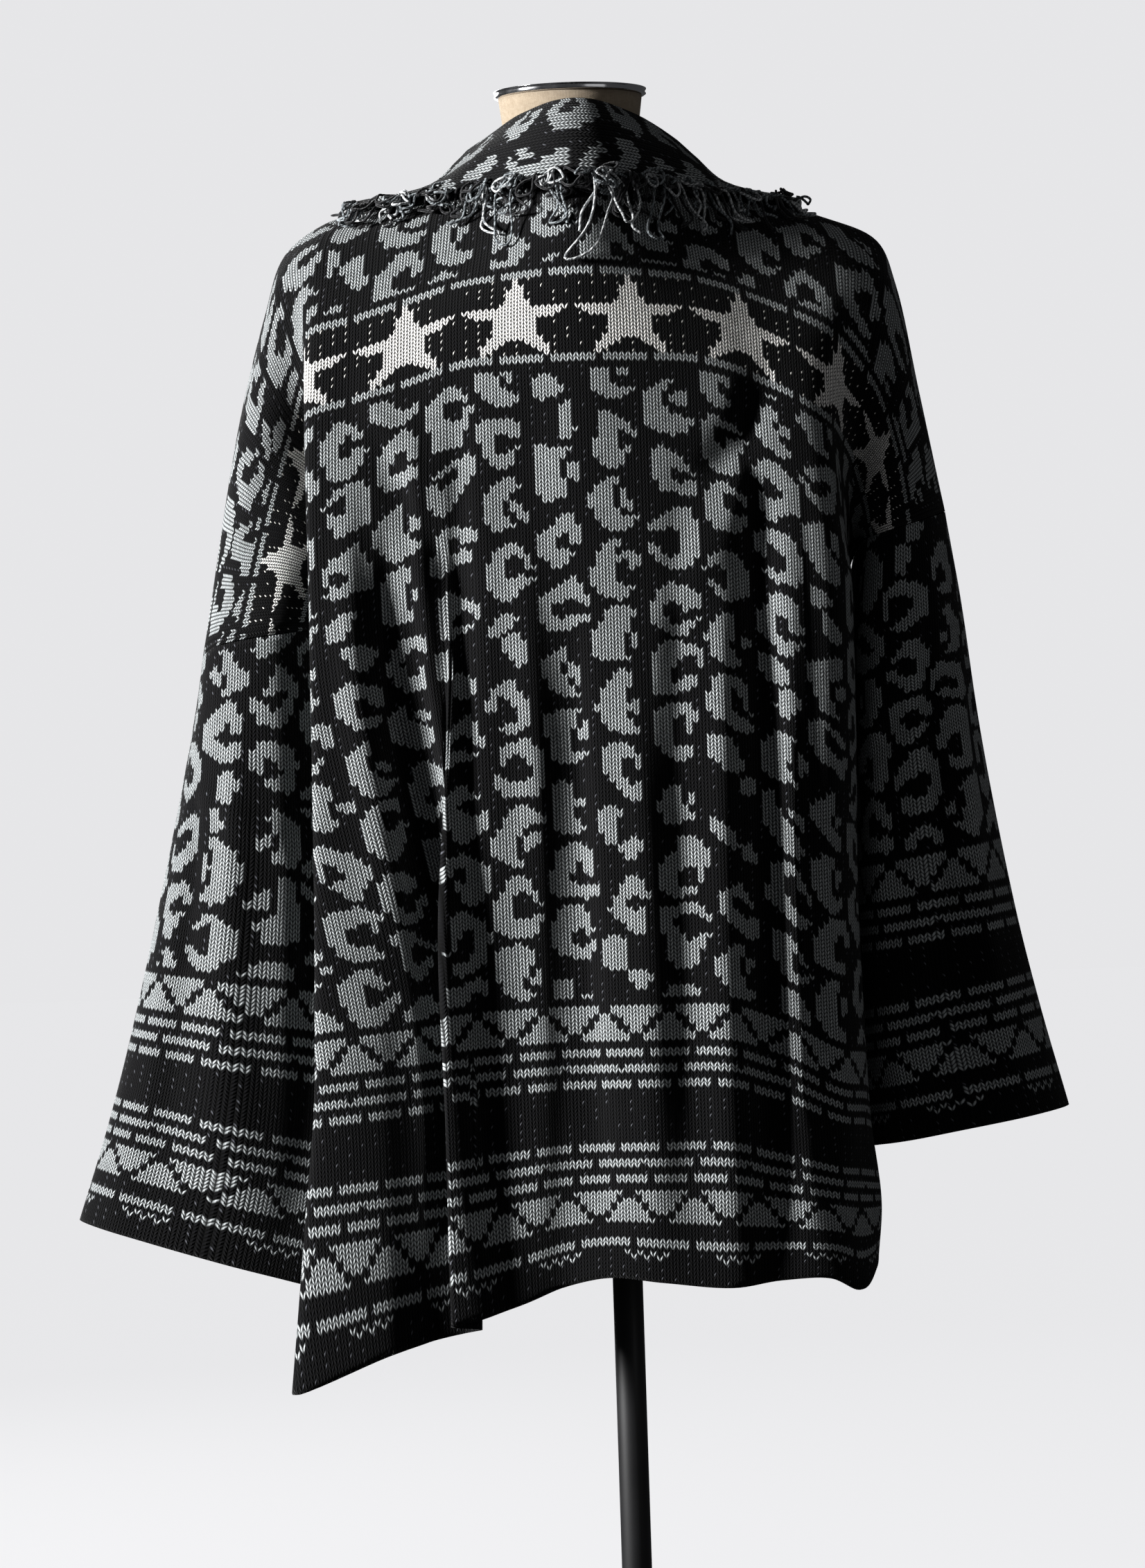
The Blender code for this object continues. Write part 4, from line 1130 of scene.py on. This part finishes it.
    def sleeve(self, side: Side, back: ClothGrid, front: ClothGrid) -> ClothGrid:
        """Lay out one sleeve, its first ring set off from the armhole's edge.

        Args:
            side: Which sleeve.
            back: The back.
            front: The front of that side.

        Returns:
            The sleeve's grid, closed round.
        """
        points, normals, ways = self.armhole(side, back, front)
        around = np.linalg.norm(np.roll(points, -1, axis=0) - points, axis=1)
        turn = np.concatenate(([0.0], np.cumsum(around)[:-1])) / around.sum()
        shares = np.linspace(0.0, 1.0, self.sleeve_rings)
        plain = np.array([[self.sleeve_point(side, s, 2 * math.pi * a) for a in turn] for s in shares])
        first = points.copy()
        for j, point in enumerate(points):
            away = unit(self.sleeve_point(side, 0.12, 2 * math.pi * turn[j]) - point)
            straight = float(np.clip(np.dot(away, ways[j]), -1.0, 1.0))
            outward = normals[j] if np.dot(normals[j], away) > 0 else -normals[j]
            bend = math.sqrt(1 - straight * straight)
            first[j] = point + ways[j] * (SEAM_GAP + WALL / 2 * bend) + outward * 1.4 * WALL * (1 - straight)
        # The armhole's shape dies out over the upper 45 hundredths of the sleeve.
        keep = eased(1.0 - shares / 0.45)
        grid = plain + (first - plain[0])[None] * keep[:, None, None]
        wales = np.tile(np.append(turn, 1.0) * self.sleeve_round * side.value, (len(shares), 1))
        length = self.sleeve_length[side] / COURSE
        courses = np.repeat((COURSES - length * (1 - shares))[:, None], len(turn) + 1, axis=1)
        panel = ClothGrid(
            grid, grid_normals(grid, closed=True), turn[None] * self.sleeve_round, courses[:, :-1], True
        )
        panel.press(self.sleeve_creases, np.clip((shares - 0.06) / 0.2, 0.0, 1.0)[:, None])
        panel.normals = grid_normals(panel.points, closed=True)
        panel.wales = wales + self.sleeve_shift
        panel.courses = courses
        return panel


@dataclass
class Collar:
    """The turned-down collar: it stands at the neckline, rolls over and falls to its fringed edge.

    A station's place is the distance down the front below zero, and rises to neck_place at the middle of
    the neck. The rows are (place, height of the stand) and (place, width of the fall).
    """

    drape: Drape
    neck_place: float = 80.0
    bottom: float = 300.0
    stand_rows: tuple = ((-300, 5), (-145, 8), (-60, 14), (0, 27), (40, 36), (80, 46))
    fall_rows: tuple = ((-300, 34), (-200, 62), (-90, 80), (0, 88))
    back_reach: dict[Side, float] = field(default_factory=lambda: {Side.LEFT: 168.0, Side.RIGHT: 150.0})
    back_drop: float = 46.0
    corner_drop: float = 10.0
    lift: float = 10.0
    back_lift: float = 17.0
    corner_turn: float = 45.0
    knee_out: float = 31.0
    knee_lift: float = 10.0
    knee_fade: float = 150.0
    knee_share: dict[Side, float] = field(default_factory=lambda: {Side.LEFT: 1.0, Side.RIGHT: 0.9})
    parts: int = 6

    def start(self, edge: np.ndarray, leave: np.ndarray, out: np.ndarray) -> np.ndarray:
        """Where the collar's own edge starts, just clear of the panel's rim."""
        turn = float(np.clip(np.dot(leave, out), -1.0, 1.0))
        clear = 1.8 * SEAM_GAP + WALL / 2 * math.sqrt(1 - turn * turn)
        return edge + leave * clear / MM

    def drop(self, square: float) -> float:
        """Distance down of the free edge behind the neck, from the squared share off the middle."""
        return self.back_drop + (self.corner_drop - self.back_drop) * square

    def front_stations(self, side: Side, front: ClothGrid, downs: np.ndarray) -> list[tuple]:
        """Stations down one front's edge.

        Args:
            side: Which front.
            front: Its grid.
            downs: Distances down of its rows.

        Returns:
            Place, side, edge point, way out and fall point of each station.
        """
        part = []
        for i in np.nonzero(downs <= self.bottom)[0]:
            down = -float(downs[i])
            edge, near = front.points[i, 0] / MM, front.points[i, 1] / MM
            reach = edge[0] + side.value * row_at(self.fall_rows, down)[0]
            corner = max(0.0, 1.0 + down / self.corner_turn)
            leave = unit(edge - near)
            out = (leave + np.array((0.0, -0.35, 0.12))) * (1 - corner)
            out = unit(out + np.array((-0.1 * side.value, -0.12, 1.0)) * corner)
            leave = unit(leave * (1 - corner) + np.array((-side.value * 1.0, 0.0, 0.25)) * corner)
            fall = self.drape.lying(reach, down, self.lift)
            part.append((down, side, self.start(edge, leave, out), out, fall, reach))
        return part

    def back_stations(self, back: ClothGrid, neck: Sequence[int]) -> list[tuple]:
        """Stations round the back of the neck, from the wearer's left to right."""
        part = []
        for j in sorted(neck, key=lambda j: -back.points[0, j, 0]):
            edge = back.points[0, j] / MM
            share = float(np.clip((edge[0] - MIDDLE_X) / self.drape.neck_half_width, -1.0, 1.0))
            side = Side.LEFT if share > 0 else Side.RIGHT
            reach = MIDDLE_X + share * self.back_reach[side]
            down = self.drop(share * share)
            lift = self.back_lift + (self.lift - self.back_lift) * share * share
            out = unit(np.array((-0.1 * share, -0.12, 1.0)))
            leave = unit((back.points[0, j] - back.points[1, j]) / MM)
            leave = leave * (1 - share**4) + np.array((-side.value * 1.0, 0.0, 0.25)) * share**4
            fall = self.drape.lying(reach, down, lift)
            place = self.neck_place * (1 - share * share)
            part.append((place, side, self.start(edge, unit(leave), out), out, fall, reach))
        return part

    def section(self, station: tuple) -> np.ndarray:
        """Rounded section from the neckline up, over and down to the free edge."""
        place, side, edge, out, fall, reach = station
        stand = row_at(self.stand_rows, place)[0]
        top = edge + out * stand
        over = fall - top
        over = unit(over - out * np.dot(over, out))
        roll = min(7.0, stand * 0.5)
        middle = 0.55 * fall + 0.45 * (top + over * roll * 2.0) + out * 2.5
        if place < 0:
            near, down = max(0.0, 1.0 + place / self.knee_fade), place
        else:
            near = (1 - place / self.neck_place) * self.knee_share[side]
            down = self.drop(1 - place / self.neck_place) * 0.5
        near = float(eased(near))
        knee = self.drape.lying(edge[0] + side.value * self.knee_out, down, self.knee_lift)
        points = (
            edge,
            edge + out * stand * 0.55 + over * 0.5,
            top + over * roll * 0.6,
            top + over * roll * 1.9 - out * stand * (0.22 + 0.12 * near),
            middle + near * (knee - middle),
            fall,
        )
        return rounded(points, self.parts)

    def fringe_line(self, stations: Sequence[tuple]) -> tuple[np.ndarray, np.ndarray]:
        """Where yarns leave the free edge, and which way they hang.

        Args:
            stations: The stations of one part.

        Returns:
            Sideways place, distance down and way on of each station, and its edge point.
        """
        marks = []
        roots = []
        for place, side, edge, out, fall, reach in stations:
            if place < 0:
                marks.append((reach, place, 0.6 * side.value, -1.0))
            else:
                share = math.sqrt(max(0.0, 1 - place / self.neck_place))
                marks.append((reach, self.drop(share * share), side.value * 0.8 * share, 1.0 - 0.55 * share))
            roots.append(fall)
        return np.array(marks, float), np.array(roots, float)

    def grid(self, stations: Sequence[tuple]) -> ClothGrid:
        """Lay the collar out over its stations."""
        points = np.array([self.section(station) for station in stations]) * MM
        along = run_length(points[:, points.shape[1] * 2 // 3] / MM)
        courses = np.repeat(((along - along.mean()) / COURSE)[:, None], points.shape[1], axis=1)
        wales = np.array([run_length(row / MM) for row in points]) / WALE
        return ClothGrid(points, grid_normals(points), wales, courses)


@dataclass
class Fringe:
    """Unravelled yarn loops along the collar's edge, lying over the shoulders and the back.

    All sizes are in millimetres. The yarns gather once in each clump, and pull says how strongly. A pair
    holds the least and the most of what is drawn. The shares are of black, grey and pale grey yarns.
    """

    drape: Drape
    yarn: float = 1.0
    clump: float = 34.0
    pull: float = 0.17
    seed: int = 11
    loops: float = 0.7
    loop_width: tuple[float, float] = (4.0, 16.0)
    most_lean: float = 0.32
    sway: tuple[float, float] = (2.0, 7.5)
    over_cloth: tuple[float, float] = (4.0, 9.0)
    least_over: float = 3.5
    curl_size: tuple[float, float] = (3.5, 11.0)
    curl_rise: tuple[float, float] = (0.5, 5.5)
    shares: tuple[float, float, float] = (0.38, 0.42, 0.2)

    def strand(
        self, mark: np.ndarray, root: np.ndarray, length: float, loop: bool, chance: np.random.RandomState
    ) -> np.ndarray:
        """Draw one yarn from the collar's edge, out over the cloth, and back where it is a loop.

        Args:
            mark: Sideways place, distance down, and the way it hangs.
            root: The edge point it comes out of.
            length: How far it reaches.
            loop: Whether it turns back to the edge.
            chance: Source of its waves.

        Returns:
            The yarn's points in millimetres.
        """
        way = mark[2:] / np.linalg.norm(mark[2:])
        side = np.array((-way[1], way[0]))
        count = 15 if loop else 11
        wide = chance.uniform(*self.loop_width) * (1 if chance.rand() < 0.5 else -1)
        lean = min(max(chance.normal(0.0, 0.45), -self.most_lean), self.most_lean)
        curl = chance.uniform(*self.sway)
        phase = chance.uniform(0.0, 6.28, 3)
        lift = chance.uniform(*self.over_cloth)
        base = self.drape.lying(mark[0], mark[1], 0.0)
        height = float(np.linalg.norm(root - base))
        points = [root]
        for k in range(1, count):
            t = k / (count - 1)
            reach = math.sin(math.pi * t) ** 0.85 if loop else t
            across = wide * (1 - math.cos(math.pi * t)) / 2 if loop else 0.0
            wave = curl * reach * math.sin(phase[0] + t * (5.0 + curl)) + lean * length * reach * reach
            place = mark[:2] + way * length * reach + side * (across + wave)
            bulge = 3.5 * math.sin(math.pi * min(reach * 1.6, 1.0)) + 2.0 * math.sin(phase[1] + 7.0 * t)
            up = lift + (height - lift) * (1 - reach) ** 2 + bulge
            if loop and k == count - 1:
                points.append(root + np.array((side[0], 0.0, -abs(side[1]))) * wide * 0.5)
                continue
            points.append(self.drape.lying(place[0], place[1], max(up, self.least_over)))
        return rounded(points, 2)

    def curl(self, mark: np.ndarray, root: np.ndarray, chance: np.random.RandomState) -> np.ndarray:
        """Draw one short loop that has sprung back over the collar's edge.

        Args:
            mark: Sideways place, distance down, and the way it hangs.
            root: The edge point it comes out of.
            chance: Source of its size and turn.

        Returns:
            The yarn's points in millimetres.
        """
        way = mark[2:] / np.linalg.norm(mark[2:])
        base = self.drape.lying(mark[0], mark[1], 0.0)
        up = unit(root - base) if np.linalg.norm(root - base) > 1 else np.array((0.0, 0.0, 1.0))
        step = self.drape.lying(mark[0] + way[0] * 10, mark[1] + way[1] * 10, 0.0) - base
        out = unit(step)
        across = np.cross(up, out)
        size = chance.uniform(*self.curl_size)
        turn = chance.normal(0.0, 0.8)
        rise = chance.uniform(*self.curl_rise)
        flat = chance.uniform(0.25, 0.8)
        kink = chance.uniform(-0.35, 0.35, 2)
        points = []
        for k in range(11):
            t = 2 * math.pi * k / 10 * 0.93
            a = size * (1 - math.cos(t) + kink[0] * math.sin(3 * t))
            b = size * (flat * math.sin(t) + kink[1] * math.sin(2 * t))
            x = a * math.cos(turn) - b * math.sin(turn)
            y = a * math.sin(turn) + b * math.cos(turn)
            height = 1.6 + rise * math.sin(t / 2) + 1.2 * math.sin(2 * t + turn)
            points.append(root + out * x + across * y + up * height)
        return rounded(points, 2)

    def build(
        self,
        name: str,
        marks: np.ndarray,
        roots: np.ndarray,
        count: int,
        reach: tuple[float, float],
        finishes: Sequence,
    ) -> bpy.types.Object:
        """Make one part of the fringe.

        Args:
            name: Name of the piece.
            marks: Sideways place, distance down and way on for each station.
            roots: Edge point of each station.
            count: How many yarns.
            reach: Least and most length.
            finishes: Yarn materials, darkest first.

        Returns:
            The piece.
        """
        chance = np.random.RandomState(self.seed + count)
        far = run_length(roots)
        data = bpy.data.curves.new(name, "CURVE")
        data.dimensions = "3D"
        data.bevel_depth = self.yarn * MM
        data.bevel_resolution = 1
        for finish in finishes:
            data.materials.append(finish)
        for k in range(2 * count):
            long = k < count
            at = far[-1] * ((k % count) + chance.uniform(0.0, 1.0)) / count
            at = min(max(at + self.clump * self.pull * math.sin(2 * math.pi * at / self.clump), 0.0), far[-1])
            mark = np.array([np.interp(at, far, marks[:, i]) for i in range(4)])
            root = np.array([np.interp(at, far, roots[:, i]) for i in range(3)])
            middle = 1.0 - abs(2.0 * at / far[-1] - 1.0)
            if long:
                length = reach[0] + (reach[1] - reach[0]) * (0.25 + 0.75 * middle) * chance.rand() ** 1.5
                line = self.strand(mark, root, length, chance.rand() < self.loops, chance) * MM
            else:
                line = self.curl(mark, root, chance) * MM
            spline = data.splines.new("POLY")
            spline.points.add(len(line) - 1)
            spline.points.foreach_set("co", np.hstack((line, np.ones((len(line), 1)))).ravel())
            spline.material_index = int(chance.choice(3, p=self.shares))
            spline.use_smooth = True
        piece = bpy.data.objects.new(name, data)
        bpy.context.collection.objects.link(piece)
        return piece


@dataclass
class DressForm:
    """Linen-covered limbless form with its neck cap, pole and base.

    A row is its height, the middle's sideways place, half the width, and the depth behind and ahead.
    """

    rows: tuple = (
        (840, 0, 138, 92, 88),
        (850, 0, 146, 98, 94),
        (900, 0, 150, 104, 98),
        (960, 1, 146, 98, 92),
        (1020, 2, 134, 88, 84),
        (1080, 3, 136, 90, 90),
        (1150, 5, 146, 98, 102),
        (1200, 6, 152, 102, 104),
        (1240, 8, 160, 98, 100),
        (1280, 9, 174, 88, 88),
        (1315, 11, 194, 76, 76),
        (1345, 12, 208, 60, 56),
        (1370, 12, 208, 50, 46),
        (1385, 14, 190, 45, 41),
        (1397, 17, 160, 38, 35),
        (1408, 19, 122, 32, 29),
        (1416, 18, 86, 33, 30),
        (1424, 15, 56, 40, 38),
        (1445, 14, 50, 49, 49),
        (1470, 15, 52, 52, 52),
        (1494, 15, 55, 55, 55),
    )
    sides: int = 120

    def cover(self) -> bpy.types.Object:
        """Make the form's linen cover."""
        ups = np.concatenate((np.arange(840.0, 1490.0, 5.0), [1494.0]))
        sizes = through(*table(self.rows), ups)
        body = bmesh.new()
        angle = 2 * math.pi * np.arange(self.sides) / self.sides
        rings = []
        for up, (middle, half, behind, ahead) in zip(ups, sizes):
            ring = bmesh.ops.create_circle(body, segments=self.sides, radius=1.0)["verts"]
            deep = np.where(np.sin(angle) > 0, behind, ahead) * np.sin(angle)
            wide = middle + half * np.cos(angle)
            for k, vert in enumerate(ring):
                vert.co = (wide[k] * MM, deep[k] * MM, up * MM)
            rings.append(ring)
        edges = [[body.edges.get(pair) for pair in zip(ring, ring[1:] + ring[:1])] for ring in rings]
        for lower, upper in zip(edges, edges[1:]):
            bmesh.ops.bridge_loops(body, edges=lower + upper)
        bmesh.ops.contextual_create(body, geom=edges[0])
        bmesh.ops.contextual_create(body, geom=edges[-1])
        return finish_mesh("form_cover", body)

    def turned(
        self, name: str, profile: Sequence[tuple[float, float]], middle: float = 0.0
    ) -> bpy.types.Object:
        """Turn a profile of (radius, up) pairs round a standing axis.

        Args:
            name: Name of the piece.
            profile: The profile in millimetres; a radius of zero closes an end.
            middle: Sideways place of the axis.

        Returns:
            The piece.
        """
        body = bmesh.new()
        line = [body.verts.new(((middle + radius) * MM, 0.0, up * MM)) for radius, up in profile]
        edges = [body.edges.new(pair) for pair in zip(line, line[1:])]
        bmesh.ops.spin(
            body,
            geom=line + edges,
            cent=(middle * MM, 0.0, 0.0),
            axis=(0.0, 0.0, 1.0),
            angle=2 * math.pi,
            steps=96,
            use_merge=True,
        )
        bmesh.ops.remove_doubles(body, verts=body.verts, dist=1e-7)
        return finish_mesh(name, body)

    def cap(self) -> bpy.types.Object:
        """Make the neck cap: a low dished disc with a rolled rim."""
        profile = [(0.0, 1494.4), (54.5, 1494.4), (57.2, 1494.6), (58.3, 1495.4)]
        profile += [
            (58.5 - 1.9 * (1 - math.sin(a)), 1497.2 + 2.1 * math.sin(a - 0.3)) for a in (0.3, 0.8, 1.3, 1.57)
        ]
        profile += [(57.4, 1499.2), (56.3, 1498.8), (55.4, 1497.6), (54.0, 1496.9), (0.0, 1496.6)]
        return self.turned("neck_cap_chrome", profile, 15.0)

    def pole(self) -> bpy.types.Object:
        """Make the pole."""
        profile = ((0.0, 12.3), (10.9, 12.3), (11.5, 13.0), (11.5, 889.0), (10.9, 889.7), (0.0, 889.7))
        return self.turned("stand_pole", profile)

    def base(self) -> bpy.types.Object:
        """Make the round base with its collar for the pole."""
        profile = (
            (11.8, 12.0),
            (11.8, 45.4),
            (12.4, 46.0),
            (18.4, 46.0),
            (20.0, 45.3),
            (21.0, 43.6),
            (21.6, 20.5),
            (23.0, 18.4),
            (26.0, 17.8),
            (120.0, 13.9),
            (170.0, 11.0),
            (184.0, 8.6),
            (188.6, 6.2),
            (190.0, 3.6),
            (190.0, 0.8),
            (189.2, 0.0),
            (0.0, 0.0),
            (0.0, 12.0),
            (11.8, 12.0),
        )
        return self.turned("stand_base", profile)


@dataclass(frozen=True)
class YarnFinish:
    """Plied yarn of one shade for the fringe."""

    shade: str
    light: str
    painted_groove_shade: str

    def material(self) -> bpy.types.Material:
        """Make the yarn: two plies twisted together with a soft halo, and painted shade in the grooves
        between them.
        """
        # Two-ply wool, 2 mm thick. It is matt and hairy, and painted light and shade take turns along it,
        # lighter on the plies and darker in the grooves between them, so that crossing yarns stay apart. The
        # plies cross every 2.3 to 3.9 mm, as the yarn runs.
        nodes = Nodes(f"plied {self.shade} yarn")
        place = nodes.add("TexCoord", {}, "Object")
        twist = nodes.add(
            "TexWave",
            {"Vector": place, "Scale": 160.0, "Distortion": 5.0, "Detail": 1.0, "Detail Scale": 2.0},
            "Fac",
            bands_direction="DIAGONAL",
        )
        shade = nodes.add("Mix", {0: twist, 6: linear(self.painted_groove_shade), 7: linear(self.light)}, 2, data_type="RGBA")
        bump = nodes.add("Bump", {"Strength": 0.7, "Distance": 0.4 * MM, "Height": twist}, "Normal")
        nodes.finish(0.9, Base_Color=shade, Normal=bump, Specular_IOR_Level=0.15, Sheen_Weight=0.2)
        return nodes.material


# Each yarn: its shade, then the painted lit colour of its plies and the painted shade of the grooves between
# them.
YARNS = (
    ("black", "#1d1d20", "#070708"),
    ("grey", "#83898c", "#2e3134"),
    ("pale grey", "#c3c5c5", "#5d6063"),
)


def linen_cover() -> bpy.types.Material:
    """Plain-woven beige linen stretched over the form."""
    # A dull, dry cloth with a grid of threads and thicker slubs every 4 mm or so. Its threads are drawn
    # 1.05 mm apart up the form and round the neck, whose radius is 58 mm, coarser than the real 0.6 mm.
    nodes = Nodes("beige linen")
    place = nodes.add("TexCoord", {}, "Object")
    x, y, z = nodes.add("SeparateXYZ", [place]).node.outputs
    around = nodes.add("Math", [y, nodes.add("Math", [x, 0.015], operation="SUBTRACT")], operation="ARCTAN2")
    warp = nodes.add(
        "Math", [nodes.add("Math", [around, 55.0], operation="MULTIPLY"), 0.5], operation="PINGPONG"
    )
    weft = nodes.add("Math", [nodes.add("Math", [z, 950.0], operation="MULTIPLY"), 0.5], operation="PINGPONG")
    slub = nodes.add("TexNoise", {"Vector": place, "Scale": 260.0, "Detail": 3.0}, "Fac")
    weave = nodes.add("Math", [warp, weft], operation="MULTIPLY")
    height = nodes.add("Math", [nodes.add("Math", [weave, 3.0], operation="MULTIPLY"), slub], operation="ADD")
    shade = nodes.add(
        "Mix",
        {0: nodes.add("MapRange", [height, 0.3, 1.3, 0.0, 1.0]), 6: linear("#7d6f5d"), 7: linear("#9a8d7b")},
        2,
        data_type="RGBA",
    )
    bump = nodes.add("Bump", {"Strength": 0.6, "Distance": 0.3 * MM, "Height": height}, "Normal")
    nodes.finish(0.88, Base_Color=shade, Normal=bump, Specular_IOR_Level=0.2, Sheen_Weight=0.1)
    return nodes.material


def chrome() -> bpy.types.Material:
    """Polished chrome with faint swirl marks."""
    # A mirror that shows bright and dark bands of the room, a little blurred in smears of 11 mm where
    # hands have wiped it.
    nodes = Nodes("polished chrome")
    place = nodes.add("TexCoord", {}, "Object")
    smear = nodes.add("TexNoise", {"Vector": place, "Scale": 90.0, "Detail": 4.0}, "Fac")
    rough = nodes.add("MapRange", [smear, 0.3, 0.7, 0.08, 0.2])
    nodes.finish(rough, Base_Color=linear("#c9c9cc"), Metallic=1.0)
    return nodes.material


def black_steel() -> bpy.types.Material:
    """Satin black powder coat with a fine orange peel."""
    # A soft broad highlight down the tube, broken by an orange peel of 1.4 mm, and paler patches of 70 mm
    # where the coat has been rubbed.
    nodes = Nodes("satin black powder coat")
    place = nodes.add("TexCoord", {}, "Object")
    peel = nodes.add("TexNoise", {"Vector": place, "Scale": 700.0, "Detail": 2.0}, "Fac")
    wear = nodes.add("TexNoise", {"Vector": place, "Scale": 14.0, "Detail": 5.0}, "Fac")
    shade = nodes.add(
        "Mix",
        {0: nodes.add("MapRange", [wear, 0.35, 0.7, 0.0, 1.0]), 6: linear("#0b0b0c"), 7: linear("#18181a")},
        2,
        data_type="RGBA",
    )
    bump = nodes.add("Bump", {"Strength": 0.25, "Distance": 0.1 * MM, "Height": peel}, "Normal")
    nodes.finish(0.5, Base_Color=shade, Normal=bump, Specular_IOR_Level=0.35)
    return nodes.material


@dataclass(frozen=True)
class Studio:
    """Pale seamless stage, soft lights and the camera.

    A light is its name, its place, the side of its square in metres and its watts. The hard key stands
    at the left of the view and draws each fold, the fill opens its shade a little, and the light behind
    rims the shoulders. The sensor's height and the lens are in millimetres, the roll is in radians.
    """

    camera_place: tuple[float, float, float] = (0.030, 4.5, 0.969)
    roll: float = 0.0323
    lens: float = 135.0
    sensor: float = 36.0
    ambient: float = 0.07
    air: str = "#e8eaee"
    paper: str = "#e6e6e8"
    floor_radius: float = 24.0
    backdrop_radius: float = 24.5
    aim: tuple[float, float, float] = (0.0, 0.0, 1.0)
    lights: tuple = (
        ("behind", (1.6, -4.4, 2.4), 3.2, 150.0),
        ("key", (4.25, 1.5, 2.1), 0.7, 760.0),
        ("fill", (-2.6, 3.2, 1.6), 2.4, 9.0),
    )

    def camera(self) -> None:
        """Set the camera at the photographed view."""
        data = bpy.data.cameras.new("view")
        data.lens = self.lens
        data.sensor_width = self.sensor
        data.sensor_fit = "VERTICAL"
        data.sensor_height = self.sensor
        data.clip_end = 100.0
        camera = bpy.data.objects.new("view", data)
        c, s = math.cos(self.roll), math.sin(self.roll)
        columns = (Vector((-c, 0.0, -s)), Vector((-s, 0.0, c)), Vector((0.0, 1.0, 0.0)))
        matrix = Matrix.Identity(4)
        for i, column in enumerate(columns):
            for k in range(3):
                matrix[k][i] = column[k]
            matrix[i][3] = self.camera_place[i]
        camera.matrix_world = matrix
        bpy.context.collection.objects.link(camera)
        bpy.context.scene.camera = camera

    def light(self, name: str, place: tuple, size: float, power: float) -> None:
        """Add one soft square light that faces the garment.

        Args:
            name: Name of the light.
            place: Where it stands.
            size: Its side.
            power: Watts.
        """
        data = bpy.data.lights.new(name, "AREA")
        data.shape = "SQUARE"
        data.size = size
        data.energy = power
        lamp = bpy.data.objects.new(name, data)
        lamp.location = place
        lamp.rotation_euler = (Vector(self.aim) - Vector(place)).to_track_quat("-Z", "Y").to_euler()
        bpy.context.collection.objects.link(lamp)

    def stage(self, name: str, body: bmesh.types.BMesh, finish: str, roughness: float) -> None:
        """Stage one pale piece round the object.

        Args:
            name: Name of the piece.
            body: Its bmesh, freed here.
            finish: Name of its material.
            roughness: Its roughness.
        """
        piece = finish_mesh(name, body)
        # Studio paint that glows evenly: a pale grey with no horizon and no cast shadow, only a touch
        # brighter where the lights graze it.
        nodes = Nodes(finish)
        black, paper = linear("#000000"), linear(self.paper)
        nodes.finish(roughness, Base_Color=black, Emission_Color=paper, Emission_Strength=1.0)
        piece.data.materials.append(nodes.material)
        piece.visible_diffuse = False
        piece.visible_glossy = False
        piece.visible_shadow = False

    def build(self) -> None:
        """Lay the floor and set the lights, the world and the camera."""
        bpy.context.scene.view_settings.view_transform = "Standard"
        body = bmesh.new()
        bmesh.ops.create_circle(body, cap_ends=True, segments=64, radius=self.floor_radius)
        self.stage("floor", body, "painted studio floor", 0.9)
        body = bmesh.new()
        bmesh.ops.create_uvsphere(body, u_segments=48, v_segments=32, radius=self.backdrop_radius)
        self.stage("backdrop", body, "lit studio backdrop", 1.0)
        world = bpy.data.worlds.new("studio")
        bpy.context.scene.world = world
        world.use_nodes = True
        air = world.node_tree.nodes["Background"].inputs
        air["Color"].default_value = linear(self.air)
        air["Strength"].default_value = self.ambient
        for light in self.lights:
            self.light(*light)
        self.camera()


def dress(piece: bpy.types.Object, material: bpy.types.Material | None, slot: str, *nodes: str) -> None:
    """Give a piece its material, body and the solids it stands for.

    Args:
        piece: The piece.
        material: Its finish, or none where it has one.
        slot: The record's slot, not used.
        nodes: The solids that it replaces.
    """
    if material is not None:
        piece.data.materials.append(material)
    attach(piece, "root")
    if nodes:
        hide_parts(*nodes)
    LOG.info("%s built", piece.name)


def main() -> None:
    """Build the pieces in order."""
    logging.basicConfig(level=logging.INFO, format="%(message)s")
    drape = Drape()
    garment = Cardigan(drape)
    chart = KnitChart()
    knit = chart.material("black and grey wool jacquard")
    collar_knit = chart.material("black and grey wool collar jacquard", starred=False, bordered=False)
    back = garment.back()
    back_piece = back.shell("knit_back")
    dress(back_piece, knit, "body_knit", "back")
    fronts = {}
    for side, word in ((Side.LEFT, "left"), (Side.RIGHT, "right")):
        front = garment.front(side)
        piece = front.shell(f"knit_front_{word}")
        dress(piece, knit, "body_knit", f"front_{word}")
        fronts[side] = front
        sleeve = garment.sleeve(side, back, front)
        piece = sleeve.shell(f"knit_sleeve_{word}")
        dress(piece, knit, "sleeve_knit", f"sleeve_{word}")
    collar = Collar(drape)
    downs = garment.downs()
    stations = collar.front_stations(Side.LEFT, fronts[Side.LEFT], downs)[::-1]
    stations += collar.back_stations(back, garment.neck)
    stations += collar.front_stations(Side.RIGHT, fronts[Side.RIGHT], downs)
    collar_piece = collar.grid(stations).shell("knit_collar")
    dress(collar_piece, collar_knit, "collar_knit", "collar")
    yarns = [YarnFinish(*row).material() for row in YARNS]
    fringe = Fringe(drape)
    for name, side, count, reach in FRINGE_PARTS:
        chosen = [row for row in stations if (row[0] >= 0 if side is None else row[0] < 0 and row[1] is side)]
        marks, roots = collar.fringe_line(chosen)
        piece = fringe.build(f"yarn_fringe_{name}", marks, roots, count, reach, yarns)
        dress(piece, None, "fringe_yarn", f"fringe_{name}")
    form = DressForm()
    dress(form.cover(), linen_cover(), "linen", "form")
    dress(form.cap(), chrome(), "neck_cap", "neck_cap")
    steel = black_steel()
    dress(form.pole(), steel, "black_steel", "pole")
    dress(form.base(), steel, "black_steel", "base")
    Studio().build()


if __name__ == "__main__":
    main()
